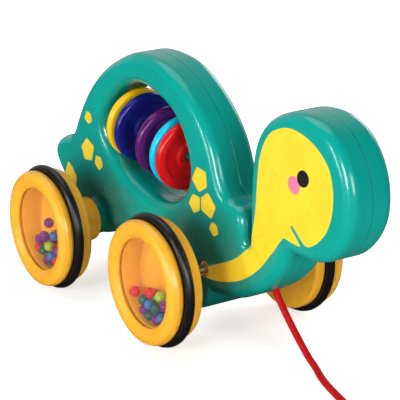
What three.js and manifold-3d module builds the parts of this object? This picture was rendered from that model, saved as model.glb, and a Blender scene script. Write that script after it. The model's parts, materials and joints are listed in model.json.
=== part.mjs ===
// Pull along toy: an arched, hollow, two-part moulded animal body on four
// rattle wheels, with five rings on a rod inside the arch and a pull cord
// under the chest. Millimetres, +X to the head, +Y to the animal's left, +Z up.
import * as THREE from "three";
import { mergeVertices } from "three/addons/utils/BufferGeometryUtils.js";
import Module from "manifold-3d";

const wasm = await Module();
wasm.setup();

// ---- driving dimensions -------------------------------------------------
const WHEEL_R = 30; // outer radius of the tyre
const WHEELBASE = 93.5; // rear axle to front axle
const AXLE_R = 2; // steel axle
const AXLE_HALF = 27; // half length of an axle
const BODY_HALF = 11.5; // half thickness of the body
const EDGE_R = 4.6; // rounding of the body's outer edge
const WALL = 2.2; // moulded wall thickness
const SPLIT = 0.15; // half of the gap between the two body halves
const BOSS_R = 8; // axle boss on each body half
// how far each boss reaches out from the middle plane, and where the hub of its wheel starts
const REAR = { x: 0, boss: 14.6, hub: 15 };
const FRONT = { x: WHEELBASE, boss: 11.5, hub: 19.8 };
const TYRE_MID = 36.6; // middle plane of the tyre
const SEGS = 18; // facets around a wheel
const RING_R = 17; // rattle ring radius
const RING_T = 4.7; // rattle ring thickness
const RING_SEGS = 16;
const ROD_R = 2.2; // ring rod radius
const ROD_SLOPE = (8.4 * Math.PI) / 180; // the rod drops towards the head
const ROD_AT = [45, 76.75]; // a point on the rod's axis (x, z)
const CORD_R = 1.45;

// ---- outlines in the side plane (x, z), rear axle at x = 0, ground z = 0 --
const BODY = [
  [-1, 20.8], [4.8, 22.3], [12.6, 25.2], [24, 28.8], [36, 30.8], [48, 31.2],
  [60, 30], [70, 27], [79, 22.6], [86, 19.8], [93.4, 18.8], [100, 19.1],
  [107.6, 20.1], [115.3, 21.6], [120, 23.2], [125, 25.6], [130, 28],
  [134.8, 30.8], [140.3, 34.7], [145.2, 38.9], [149.3, 43.3], [151.8, 47.8],
  [153.6, 51.6], [155.6, 53.4], [158.5, 53.8], [162, 53.3], [166, 53.1],
  [170.5, 53.6], [176, 55], [181, 57], [185.6, 60.4], [190.2, 65.2],
  [193.7, 70.8], [195.9, 77.4], [196.3, 84.5], [195.4, 91.1], [193.1, 97.4],
  [190.1, 102.4], [186.2, 106.9], [181.6, 110.4], [175.6, 112.9],
  [168.6, 114.2], [161.7, 114.2], [155.6, 113.5], [150.2, 111.9],
  [145.3, 109.8], [141.4, 107.6], [138.2, 105], [135, 101.6], [132.2, 97.2],
  [130.2, 92.3], [128.8, 85.8], [127.8, 79], [127.3, 72.3], [127, 65.6],
  [126.8, 60], [126.5, 54.5], [126.1, 50.3], [125.2, 48.9], [124.2, 50.3],
  [123.9, 54.5], [123.3, 58.6], [121.8, 61.6], [119.2, 63.6], [115.6, 64.4],
  [111.8, 64.6], [109.2, 65.6], [107.2, 68], [105, 72], [102.9, 78.1],
  [100.3, 84.6], [96.5, 91], [91.4, 97.4], [84.2, 104], [76, 109.6],
  [68.2, 113.6], [60.2, 116.2], [52, 117.3], [44.6, 117.6], [39, 117.4],
  [33.6, 116.5], [29, 115], [24.5, 113.1], [19.7, 110.9], [15, 108.6],
  [10.1, 105.7], [5.2, 102.3], [0.1, 98.1], [-5.1, 93.2], [-10.5, 86.8],
  [-13.5, 82.7], [-16.2, 78.6], [-18.7, 74.4], [-20.9, 70.2], [-22.8, 67.4],
  [-25, 65.7], [-27.6, 64.9], [-30.6, 64.1], [-33.9, 63], [-37.3, 61.3],
  [-39.8, 59.2], [-41.3, 56.7], [-41.7, 53.9], [-40.5, 50.6], [-37.6, 47],
  [-34.4, 43.6], [-30.6, 39.6], [-26, 34.6], [-20.4, 28.8], [-13.6, 23.8],
  [-7, 21.2],
];
const HOLE = [
  [50.7, 102], [54.9, 100.8], [59.1, 99.9], [63, 98.4], [67.2, 96.6],
  [71.1, 93.6], [75, 89.3], [78.7, 83.3], [81, 76.8], [81.5, 72.3],
  [80.8, 67.3], [78.9, 63.2], [76, 59.6], [72, 56.5], [65.1, 53.4],
  [56.7, 51.7], [48, 51.8], [39.6, 53.7], [30.9, 56.4], [21.9, 60.6],
  [15, 65.4], [10.1, 70.4], [7.6, 77.1], [9.5, 84], [15.6, 91.6],
  [24, 98.2], [33.4, 102.2], [42.3, 103.1],
];
// sharp-edged keel under the front axle
const KEEL = [
  [72, 27], [75.4, 20.6], [79, 14.6], [83, 11.3], [87.4, 10.3], [91.2, 10.5], [93, 12.6],
  [95.8, 18.2], [97.4, 24], [97.4, 34], [72, 34],
];
const KEEL_HALF = 11.4;
// screws that hold the halves together (x, z)
const SCREWS = [[-13, 60], [44, 41.5], [109, 44], [45.5, 110.4], [139, 62], [174, 87]];

// ---- materials ----------------------------------------------------------
const mat = (color, roughness, metalness = 0, extra = {}) =>
  new THREE.MeshStandardMaterial({ color, roughness, metalness, ...extra });
const TEAL = mat(0x009e8c, 0.32);
const ORANGE = mat(0xffb63a, 0.35);
const BLACK = mat(0x15151a, 0.6);
const CLEAR = mat(0xf6f3ea, 0.08, 0, { transparent: true, opacity: 0.3 });
const STEEL = mat(0xb8bcc0, 0.3, 0.9);
const BUSH = mat(0xf0a52e, 0.5);
const RED_CORD = mat(0xc8101c, 0.8);
const RINGS = {
  yellow: mat(0xffcf10, 0.3),
  blue: mat(0x202a9a, 0.3),
  purple: mat(0x6a1478, 0.3),
  cyan: mat(0x18bfe6, 0.3),
  red: mat(0xe01a20, 0.3),
};
const BEADS = {
  front_right: mat(0xd8242c, 0.3),
  front_left: mat(0x9ccb2e, 0.3),
  rear_right: mat(0x3a4cc0, 0.3),
  rear_left: mat(0x7a2a86, 0.3),
};

// ---- helpers ------------------------------------------------------------
function solid(geometry) {
  const g = geometry.clone();
  for (const k of Object.keys(g.attributes)) if (k !== "position") g.deleteAttribute(k);
  const m = mergeVertices(g, 1e-4);
  return new wasm.Manifold(
    new wasm.Mesh({
      numProp: 3,
      vertProperties: new Float32Array(m.attributes.position.array),
      triVerts: new Uint32Array(m.index.array),
    }),
  );
}
function geometryOf(s) {
  const m = s.getMesh(), n = m.numProp, v = new Float32Array(m.numVert * 3);
  for (let i = 0; i < m.numVert; i++) v.set(m.vertProperties.subarray(i * n, i * n + 3), i * 3);
  const g = new THREE.BufferGeometry()
    .setAttribute("position", new THREE.BufferAttribute(v, 3))
    .setIndex(new THREE.BufferAttribute(new Uint32Array(m.triVerts), 1));
  g.computeVertexNormals();
  return g;
}
const cut = (a, ...b) => b.reduce((s, t) => s.subtract(t), a);
const join = (a, ...b) => b.reduce((s, t) => s.add(t), a);

// A plate across the body: the outline in (x, z), shrunk by inset, between
// y = -half and y = +half, its edges rounded by r.
function plate(outline, half, r = 0, inset = 0, steps = 2) {
  const shape = new THREE.Shape(outline.map(([x, z]) => new THREE.Vector2(x, z)));
  const opts = { steps: 1, curveSegments: 1 };
  if (r > 0 || inset !== 0)
    Object.assign(opts, {
      depth: 2 * (half - Math.max(r, 0.01)), bevelEnabled: true, bevelThickness: Math.max(r, 0.01),
      bevelSize: r, bevelOffset: -r - inset, bevelSegments: r > 0 ? steps : 1,
    });
  else Object.assign(opts, { depth: 2 * half, bevelEnabled: false });
  const g = new THREE.ExtrudeGeometry(shape, opts);
  g.rotateX(Math.PI / 2); // shape y becomes z, the extrusion runs to -y
  g.computeBoundingBox();
  g.translate(0, -(g.boundingBox.min.y + g.boundingBox.max.y) / 2, 0);
  return g;
}
// Straight cylinder along Y from y0 to y1 at (x, z).
function cylY(r, y0, y1, x, z, n = 16) {
  const g = new THREE.CylinderGeometry(r, r, Math.abs(y1 - y0), n);
  g.translate(x, (y0 + y1) / 2, z);
  return g;
}
// Closed profile of (radius, distance) turned about the Y axis.
function turned(profile, n = SEGS) {
  const pts = profile.map(([r, a]) => new THREE.Vector2(r, a));
  if (profile[0][0] !== 0) pts.push(pts[0].clone());
  return new THREE.LatheGeometry(pts, n);
}
const root = new THREE.Group();
const toy = new THREE.Group();
root.add(toy);
function add(parent, name, geometry, material) {
  const m = new THREE.Mesh(geometry, material);
  m.name = name;
  parent.add(m);
  return m;
}

// ---- body halves --------------------------------------------------------
const grow = (pts, d) => {
  // moves each point of a rounded counter-clockwise outline outwards by d
  const a = THREE.ShapeUtils.area(pts.map(([x, z]) => new THREE.Vector2(x, z)));
  const s = a > 0 ? 1 : -1;
  return pts.map((p, i) => {
    const q = pts[(i + pts.length - 1) % pts.length], r = pts[(i + 1) % pts.length];
    const t = new THREE.Vector2(r[0] - q[0], r[1] - q[1]).normalize();
    return [p[0] + s * t.y * d, p[1] - s * t.x * d];
  });
};
const LIP = 3.6; // slope of the hole's rim on each face
const outer = solid(plate(BODY, BODY_HALF, EDGE_R));
const lipCut = (sign) => {
  const g = new THREE.ExtrudeGeometry(
    new THREE.Shape(HOLE.map(([x, z]) => new THREE.Vector2(x, z))),
    { depth: 4, bevelEnabled: true, bevelThickness: LIP, bevelSize: LIP, bevelSegments: 1, steps: 1 },
  );
  g.rotateX(Math.PI / 2);
  g.computeBoundingBox();
  const b = g.boundingBox;
  // the widest part starts just outside the face, the narrow end inside it
  g.translate(0, sign > 0 ? BODY_HALF - LIP - b.min.y : -BODY_HALF + LIP - b.max.y, 0);
  return solid(g);
};
const holeCut = join(solid(plate(HOLE, BODY_HALF + 6)), lipCut(1), lipCut(-1));
// the cavity follows every second point of the outline, and all of the notch
const INNER = BODY.filter(([x, z], i) => i % 2 === 0 || (x > 119 && x < 133 && z < 70));
const core = cut(
  solid(plate(INNER, BODY_HALF - WALL, 2, WALL, 1)),
  solid(plate(grow(HOLE, LIP + WALL), BODY_HALF + 4)),
);
const keel = solid(plate(KEEL, KEEL_HALF, 1));
const keelCore = solid(plate(KEEL, BODY_HALF - WALL, 0.5, WALL, 1));
// the rod, its bores in the rim wall, and the rings share this axis
const rodDir = new THREE.Vector3(Math.cos(ROD_SLOPE), 0, -Math.sin(ROD_SLOPE));
const ROD_S = [-42.2, 41.6]; // rod ends along its axis from ROD_AT
function alongRod(g, s) {
  g.rotateZ(-Math.PI / 2); // the geometry's own axis, +Y, turns to +X
  g.rotateY(ROD_SLOPE);
  g.translate(ROD_AT[0] + rodDir.x * s, 0, ROD_AT[1] + rodDir.z * s);
  return g;
}
const rodLength = ROD_S[1] - ROD_S[0];
const rodBore = solid(
  alongRod(new THREE.CylinderGeometry(ROD_R + 0.3, ROD_R + 0.3, rodLength + 0.8, 12), (ROD_S[0] + ROD_S[1]) / 2),
);
const CORD_HOLE = [131.2, 27.6];

function half(sign) {
  const box = new THREE.BoxGeometry(400, 60, 300);
  box.translate(60, sign * (30 + SPLIT), 60);
  const side = solid(box);
  let s = cut(join(outer, keel), holeCut, join(core, keelCore)).intersect(side);
  const y = (v) => sign * v;
  // axle bosses: the rear one stands out from the wall, the front one is all inside it
  s = join(s, solid(cylY(BOSS_R, y(1.2), y(REAR.boss), REAR.x, WHEEL_R, 18)), solid(cylY(BOSS_R, y(1.2), y(FRONT.boss - 0.6), FRONT.x, WHEEL_R, 18)));
  // screw bosses
  for (const [x, z] of SCREWS) s = join(s, solid(cylY(3.9, y(SPLIT), y(BODY_HALF - 1), x, z, 12)));
  // web that carries the cord's knot
  const web = new THREE.BoxGeometry(9, 9.4, 3);
  web.translate(129, y(SPLIT + 4.7), 33.4);
  s = join(s, solid(web).intersect(solid(plate(BODY, BODY_HALF - 1))));
  for (const x of [REAR.x, FRONT.x]) s = cut(s, solid(cylY(3.7, y(-1), y(REAR.boss + 1), x, WHEEL_R, 16)));
  if (sign > 0)
    for (const [x, z] of SCREWS)
      s = cut(s, solid(cylY(3.3, 6.4, BODY_HALF + 1, x, z, 12)), solid(cylY(1.8, -1, 8, x, z, 10)));
  else for (const [x, z] of SCREWS) s = cut(s, solid(cylY(1.7, 1, -8.2, x, z, 10)));
  s = cut(s, rodBore, solid(new THREE.CylinderGeometry(CORD_R + 0.5, CORD_R + 0.5, 16, 10).rotateX(Math.PI / 2).translate(CORD_HOLE[0], 0, 31)));
  return s;
}
add(toy, "body_half_right", geometryOf(half(-1)), TEAL);
add(toy, "body_half_left", geometryOf(half(1)), TEAL);

// screws, driven in from the left side
SCREWS.forEach(([x, z], i) => {
  const g = turned([[0, -7.4], [1, -7.4], [1.4, -6.4], [1.4, 6.9], [2.8, 6.9], [2.8, 8.1], [2, 8.7], [0, 8.7]], 10);
  const m = add(toy, "body_screw_" + (i + 1), g, STEEL);
  m.position.set(x, 0, z);
});

// ---- ring rod and rings -------------------------------------------------
add(toy, "ring_rod", alongRod(new THREE.CylinderGeometry(ROD_R, ROD_R, rodLength, 12), (ROD_S[0] + ROD_S[1]) / 2), TEAL);
const ringProfile = [
  [ROD_R + 0.35, -2.1], [5.8, -2.1], [7.4, -0.9], [12.4, -0.9], [14.4, -RING_T / 2], [RING_R, -1],
  [RING_R, 1], [14.4, RING_T / 2], [12.4, 0.9], [7.4, 0.9], [5.8, 2.1], [ROD_R + 0.35, 2.1],
];
const RING_X = { yellow: 22.4, blue: 29, purple: 47.6, cyan: 59.6, red: 64.8 };
for (const [colour, x] of Object.entries(RING_X))
  add(toy, "ring_" + colour, alongRod(turned(ringProfile, RING_SEGS), (x - ROD_AT[0]) / rodDir.x), RINGS[colour]);

// ---- axles, bushes and wheels -------------------------------------------
// profiles of (radius, distance out from the toy's middle plane)
const hubs = {
  rear: [[AXLE_R + 0.3, REAR.hub], [9.6, REAR.hub], [10.4, 15.8], [12.4, 29.4]],
  front: [[AXLE_R + 0.3, FRONT.hub], [3.5, FRONT.hub], [4, 17.2], [8.8, 20], [12.4, 29.4]],
};
const cup = [
  [23.6, 29.8], [26.2, 31],
  [26.7, 33.2], [23.5, 34.2], [23.5, 36.4], [21.4, 36.4], [21.4, 41.6], [19.9, 41.6],
  [19.9, 31.8], [0, 31.8],
];
const frontRim = [
  [21.8, 36.8], [23.5, 36.8], [23.5, 39.2], [27.2, 40.2], [27.8, 41.6], [27.8, 43.4], [26.6, 45.2],
  [24.2, 46], [21.6, 45.4], [19.8, 43.9], [19.7, 43.2], [21.8, 43.2],
];
const windowDisc = [[0, 41.9], [21.3, 41.9], [21.3, 42.9], [0, 42.9]];
const TREAD_R = WHEEL_R / Math.cos(Math.PI / SEGS); // the tread's facets sit at WHEEL_R
const tyre = [
  [23.9, TYRE_MID - 1.2], [25.4, TYRE_MID - 2.8], [28, TYRE_MID - 2.9], [TREAD_R, TYRE_MID - 1],
  [TREAD_R, TYRE_MID + 1], [28, TYRE_MID + 2.9], [25.4, TYRE_MID + 2.8], [23.9, TYRE_MID + 1.2],
];
// a lathe profile that starts and ends on the axis, with a blind bore for the axle
const backHalf = (end) => [[0, 27.4], [AXLE_R + 0.3, 27.4], ...hubs[end], ...cup];

function beadPile() {
  // a loose pile of round beads at the bottom of the drum, touching each other
  const R = 2.45, spots = [];
  const row = (radius, a, from, step, n) => {
    for (let i = 0; i < n; i++) {
      const t = ((from + step * i) * Math.PI) / 180;
      spots.push([radius * Math.sin(t), -radius * Math.cos(t), a]);
    }
  };
  row(16.6, 38.9, -28, 14, 5);
  row(16.6, 34.9, -21, 14, 4);
  row(12.9, 36.9, -17, 17, 2);
  let s = null;
  for (const [x, z, a] of spots) {
    const g = new THREE.IcosahedronGeometry(R * 1.06, 0);
    g.rotateX(x * 0.7 + z).rotateZ(a);
    g.translate(x, a, z);
    s = s ? s.add(solid(g)) : solid(g);
  }
  return s;
}
const pile = beadPile();
for (const [end, { x, boss }] of [["front", FRONT], ["rear", REAR]]) {
  const axle = new THREE.Group();
  axle.position.set(x, 0, WHEEL_R);
  toy.add(axle);
  add(axle, end + "_axle", turned([[0, -AXLE_HALF], [AXLE_R - 0.5, -AXLE_HALF], [AXLE_R, -AXLE_HALF + 0.6], [AXLE_R, AXLE_HALF - 0.6], [AXLE_R - 0.5, AXLE_HALF], [0, AXLE_HALF]], 12), STEEL);
  for (const [side, sign] of [["right", -1], ["left", 1]]) {
    const id = end + "_" + side;
    const place = (g) => {
      if (sign < 0) g.rotateX(Math.PI);
      return g;
    };
    // one facet faces the ground
    const spin = (g) => place(g.rotateY(Math.PI / SEGS));
    add(axle, "axle_bush_" + id, place(turned([[AXLE_R + 0.3, 2], [3.4, 2], [3.4, boss - 0.2], [AXLE_R + 0.3, boss - 0.2]], 14)), BUSH);
    add(axle, "wheel_back_" + id, spin(turned(backHalf(end))), ORANGE);
    add(axle, "wheel_front_" + id, spin(turned(frontRim)), ORANGE);
    add(axle, "wheel_window_" + id, spin(turned(windowDisc)), CLEAR);
    add(axle, "tyre_" + id, spin(turned(tyre)), BLACK);
    const b = geometryOf(pile);
    if (sign < 0) b.rotateZ(Math.PI); // the same pile on the other side
    add(axle, "bead_pile_" + id, b, BEADS[id]);
  }
}

// ---- pull cord ----------------------------------------------------------
const CORD = [
  [131.55, 0, 28.7], [131.75, 0, 27.9], [134.3, 0, 24.5], [138.2, 0, 20.2], [142.6, 0, 15.8], [147, 0, 11.7],
  [151.2, 0, 8], [155.2, 0, 4.8], [160, -0.4, 2.4], [166, -2.8, 1.75], [173, -5.6, 1.75], [182, -8.5, 1.75],
  [194, -11.8, 1.75], [212, -16, 1.75], [236, -19.5, 1.75], [262, -19, 1.75], [288, -14.5, 1.75],
  [310, -10.2, 1.75], [328, -8.6, 1.75],
];
const cordCurve = new THREE.CatmullRomCurve3(CORD.map((p) => new THREE.Vector3(...p)), false, "centripetal");
const disc = (r, n) =>
  new THREE.Shape(Array.from({ length: n }, (_, i) => {
    const a = (2 * Math.PI * i) / n;
    return new THREE.Vector2(r * Math.cos(a), r * Math.sin(a));
  }));
// the four cord lengths meet at these knuckles, with a small gap between them
const CORD_BREAKS = [0, 9, 13, 15, 18];
const uOf = (i) => i / (CORD.length - 1);
for (let k = 0; k < 4; k++) {
  const gap = 0.004;
  const a = uOf(CORD_BREAKS[k]) + (k ? gap : 0), b = uOf(CORD_BREAKS[k + 1]) - (k < 3 ? gap : 0);
  const n = [11, 5, 4, 5][k];
  const pts = Array.from({ length: n + 1 }, (_, i) => cordCurve.getPoint(a + ((b - a) * i) / n));
  const path = new THREE.CatmullRomCurve3(pts, false, "centripetal");
  add(toy, "cord_length_" + (k + 1), new THREE.ExtrudeGeometry(disc(CORD_R, 8), { steps: n, extrudePath: path, bevelEnabled: false }), RED_CORD);
}
const knot = (r) => new THREE.IcosahedronGeometry(r, 1).scale(1, 1, 0.86);
// the knot and the short length that runs down through the body's hole
const stub = new THREE.CylinderGeometry(CORD_R, CORD_R, 8, 8).rotateX(Math.PI / 2).translate(0, 0, -4.4);
add(toy, "cord_stopper_knot", geometryOf(join(solid(knot(3.1)), solid(stub))), RED_CORD).position.set(131.2, 0, 38.2);
add(toy, "cord_end_knot", knot(3.4), RED_CORD).position.set(332.3, -8.4, 3.3);

// the origin sits on the ground at the middle of the whole toy's length
root.updateMatrixWorld(true);
const span = new THREE.Box3().setFromObject(toy, true);
toy.position.x = -(span.min.x + span.max.x) / 2;

export default root;
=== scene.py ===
# Pull-along toy: a two-part moulded animal body on four bead-filled wheels, with rings on a rod
# in its opening and a braided pull cord.
# The row frame is in metres: +X is the toy's front, +Y its left, +Z up, with the ground at z = 0.
# Tables are in millimetres, with x from the rear axle, y from the middle plane and z from the
# ground. row_mm() and to_row() take them to the row frame.
import json
import math
import random

import bmesh
import bpy
import numpy as np
from mathutils import Matrix, Vector, geometry

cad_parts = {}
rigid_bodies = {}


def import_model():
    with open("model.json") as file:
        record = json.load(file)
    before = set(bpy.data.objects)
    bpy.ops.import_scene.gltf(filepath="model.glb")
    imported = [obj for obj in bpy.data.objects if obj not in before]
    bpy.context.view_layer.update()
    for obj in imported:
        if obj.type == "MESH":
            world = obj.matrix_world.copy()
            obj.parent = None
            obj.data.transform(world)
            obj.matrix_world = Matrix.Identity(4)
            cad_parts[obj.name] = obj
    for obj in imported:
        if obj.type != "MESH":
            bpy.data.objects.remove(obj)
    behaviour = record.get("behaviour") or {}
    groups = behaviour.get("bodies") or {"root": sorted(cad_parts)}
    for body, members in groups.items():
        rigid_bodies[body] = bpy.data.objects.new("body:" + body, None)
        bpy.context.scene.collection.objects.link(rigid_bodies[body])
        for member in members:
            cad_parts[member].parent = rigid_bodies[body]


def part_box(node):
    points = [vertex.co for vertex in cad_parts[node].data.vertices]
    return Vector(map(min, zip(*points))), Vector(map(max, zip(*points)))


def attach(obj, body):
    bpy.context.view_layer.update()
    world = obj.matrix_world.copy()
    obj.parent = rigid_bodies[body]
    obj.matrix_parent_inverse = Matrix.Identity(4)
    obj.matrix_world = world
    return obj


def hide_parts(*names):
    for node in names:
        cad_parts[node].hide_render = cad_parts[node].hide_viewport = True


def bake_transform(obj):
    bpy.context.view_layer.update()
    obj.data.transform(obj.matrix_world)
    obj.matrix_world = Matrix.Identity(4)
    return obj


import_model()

for default in [o for o in bpy.data.objects if o.name in ("Cube", "Light", "Camera")]:
    bpy.data.objects.remove(default)
SCENE = bpy.context.scene
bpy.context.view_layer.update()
MM = 0.001


def middle_of(cad_node):
    lo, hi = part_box(cad_node)
    return (lo + hi) / 2


REAR_X = middle_of("rear_axle").x / MM  # the only value measured from the row frame's origin
FRONT_X = middle_of("front_axle").x / MM - REAR_X
AXLE_Z = middle_of("rear_axle").z / MM
AXLES = (("front", FRONT_X), ("rear", 0.0))
SIDES = (("right", -1), ("left", 1))


def row_mm(point):
    return (point[0] + REAR_X, point[1], point[2])


def to_row(x, y, z):
    return Vector(((x + REAR_X) * MM, y * MM, z * MM))


# ---------------------------------------------------------------- dimensions
BODY_HALF = 11.5  # half thickness of the flat sides
EDGE_R = 5.2  # rounding of the outer edge
WALL = 2.2
HOLE_WALL = 5.2  # material left around the opening
SPLIT = 0.06  # each mating face's distance from the middle plane
SEAM_INSET, SEAM_RISE = 0.16, 0.18  # bevel of the parting line
BOSS_R = 8.0
REAR_BOSS, REAR_HUB = 14.6, 15.0  # reach of the boss, start of the hub
FRONT_BOSS, FRONT_HUB = 11.5, 19.8
FLARE_R, FLARE_RISE = 11.5, 1.6  # the skin rises towards the rear boss
FLARE_ARC = 0.98  # share of a quarter circle that the flare follows
CORD_HOLE_X = 131.2
SKIN_ANGLE = 34  # degrees; steeper edges are shaded sharp

ROD_SLOPE = math.radians(8.4)
ROD_AT = (45.0, 76.75)  # x, z of the rod's zero station
ROD_ENDS = (-42.2, 41.6)  # stations along the rod
ROD_DIR = Vector((math.cos(ROD_SLOPE), 0, -math.sin(ROD_SLOPE)))

# All outlines are (x, z).
SCREWS = [(-13, 60), (44, 41.5), (109, 44), (45.5, 110.4), (139, 62), (174, 87)]
KEEL = [
    (72, 27), (75.4, 20.6), (79, 14.6), (83, 11.3), (87.4, 10.3), (91.2, 10.5), (93, 12.6),
    (95.8, 18.2), (97.4, 24), (97.4, 34), (72, 34),
]
BODY = [
    (-1, 20.8), (4.8, 22.3), (12.6, 25.2), (24, 28.8), (36, 30.8), (48, 31.2), (60, 30), (70, 27),
    (79, 22.6), (86, 19.8), (93.4, 18.8), (100, 19.1), (107.6, 20.1), (115.3, 21.6), (120, 23.2),
    (125, 25.6), (130, 28), (134.8, 30.8), (140.3, 34.7), (145.2, 38.9), (149.3, 43.3),
    (151.8, 47.8), (153.6, 51.6), (155.6, 53.4), (158.5, 53.8), (162, 53.3), (166, 53.1),
    (170.5, 53.6), (176, 55), (181, 57), (185.6, 60.4), (190.2, 65.2), (193.7, 70.8),
    (195.9, 77.4), (196.3, 84.5), (195.4, 91.1), (193.1, 97.4), (190.1, 102.4), (186.2, 106.9),
    (181.6, 110.4), (175.6, 112.9), (168.6, 114.2), (161.7, 114.2), (155.6, 113.5),
    (150.2, 111.9), (145.3, 109.8), (141.4, 107.6), (138.2, 105), (135, 101.6), (132.2, 97.2),
    (130.2, 92.3), (128.8, 85.8), (127.8, 79), (127.3, 72.3), (127, 65.6), (126.8, 60),
    (126.5, 54.5), (126.1, 50.3), (125.2, 48.9), (124.2, 50.3), (123.9, 54.5), (123.3, 58.6),
    (121.8, 61.6), (119.2, 63.6), (115.6, 64.4), (111.8, 64.6), (109.2, 65.6), (107.2, 68),
    (105, 72), (102.9, 78.1), (100.3, 84.6), (96.5, 91), (91.4, 97.4), (84.2, 104), (76, 109.6),
    (68.2, 113.6), (60.2, 116.2), (52, 117.3), (44.6, 117.6), (39, 117.4), (33.6, 116.5),
    (29, 115), (24.5, 113.1), (19.7, 110.9), (15, 108.6), (10.1, 105.7), (5.2, 102.3),
    (0.1, 98.1), (-5.1, 93.2), (-10.5, 86.8), (-13.5, 82.7), (-16.2, 78.6), (-18.7, 74.4),
    (-20.9, 70.2), (-22.8, 67.4), (-25, 65.7), (-27.6, 64.9), (-30.6, 64.1), (-33.9, 63),
    (-37.3, 61.3), (-39.8, 59.2), (-41.3, 56.7), (-41.7, 53.9), (-40.5, 50.6), (-37.6, 47),
    (-34.4, 43.6), (-30.6, 39.6), (-26, 34.6), (-20.4, 28.8), (-13.6, 23.8), (-7, 21.2),
]
NOTCH, NOTCH_R = (125.3, 54), 6  # the narrow cleft in the top of the outline, kept sharp
HOLE = [
    (50.7, 102), (54.9, 100.8), (59.1, 99.9), (63, 98.4), (67.2, 96.6), (71.1, 93.6), (75, 89.3),
    (78.7, 83.3), (81, 76.8), (81.5, 72.3), (80.8, 67.3), (78.9, 63.2), (76, 59.6), (72, 56.5),
    (65.1, 53.4), (56.7, 51.7), (48, 51.8), (39.6, 53.7), (30.9, 56.4), (21.9, 60.6), (15, 65.4),
    (10.1, 70.4), (7.6, 77.1), (9.5, 84), (15.6, 91.6), (24, 98.2), (33.4, 102.2), (42.3, 103.1),
]
# Printed on both flat sides: yellow spots, then the yellow face in four runs, eye and cheek.
SPOTS = [
    [(89.2, 75.8), (96.2, 74.9), (96.8, 68.1), (90.4, 64.4), (85.0, 69.3)],
    [(85.5, 62.6), (91.1, 62.1), (90.9, 56.1), (86.0, 53.7), (82.1, 57.6)],
    [(97.5, 66.0), (103.5, 60.7), (99.8, 54.5), (92.1, 56.6), (91.9, 62.3)],
    [(100.6, 53.5), (104.0, 52.6), (105.1, 48.8), (101.2, 46.8), (97.8, 50.0)],
    [(-5.9, 81.7), (-2.2, 81.0), (-1.5, 77.2), (-5.0, 75.2), (-8.7, 77.7)],
    [(-7.0, 68.1), (-0.5, 65.0), (-3.0, 57.5), (-9.8, 56.7), (-12.7, 62.8)],
    [(1.1, 61.1), (5.8, 61.0), (7.3, 56.9), (3.9, 54.1), (-0.2, 56.6)],
    [(-26.6, 51.9), (-23.2, 50.3), (-18.6, 45.8), (-19.6, 40.2), (-26.0, 38.6), (-30.0, 45.6)],
]
FACE_TOP = [
    (105.1, 35.5), (112.9, 38.8), (120.5, 43.2), (125.0, 47.2), (128.1, 51.4), (130.3, 56.4),
    (131.9, 61.2), (133.1, 66.8), (133.9, 73.6), (134.7, 80.3), (135.9, 87.9), (137.4, 92.9),
    (139.6, 97.2), (141.7, 100.2), (144.5, 102.9), (148.0, 104.9), (152.1, 106.4), (156.8, 107.4),
    (161.5, 107.4), (166.8, 106.5), (171.3, 105.0), (175.9, 102.8), (179.7, 100.0), (182.9, 96.6),
    (184.8, 92.2), (185.8, 86.4), (185.5, 81.0), (184.3, 75.7), (181.8, 70.5), (177.9, 65.9),
    (174.0, 62.8), (170.0, 60.8), (167.1, 60.6),
]
FACE_CHIN = [
    (167.1, 60.6), (163.7, 63.0), (161.0, 65.3), (158.6, 67.1), (157.5, 66.2), (159.6, 64.0),
    (162.3, 61.6), (164.3, 59.9),
]
FACE_JAW = [(164.3, 59.9), (163.9, 59.4), (159.9, 59.4), (155.8, 59.8), (153.1, 60.3)]
FACE_LOW = [
    (153.1, 60.3), (149.6, 56.8), (146.0, 52.5), (142.4, 48.7), (138.8, 44.8), (133.7, 40.2),
    (127.8, 36.0), (120.3, 32.0), (112.6, 29.2), (104.9, 27.3), (97.0, 26.2), (90.6, 26.2),
    (85.0, 27.6), (89.1, 28.6), (97.2, 32.1), (105.1, 35.5),
]
EYE = [(164.9, 92.1), (169.2, 90.8), (169.8, 88.4), (167.2, 84.9), (163.5, 85.7), (162.2, 88.7)]
CHEEK = [
    (158.4, 87.8), (156.0, 85.6), (156.7, 82.4), (160.4, 80.5), (163.4, 82.3), (164.3, 86.0),
    (161.7, 88.0),
]


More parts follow.
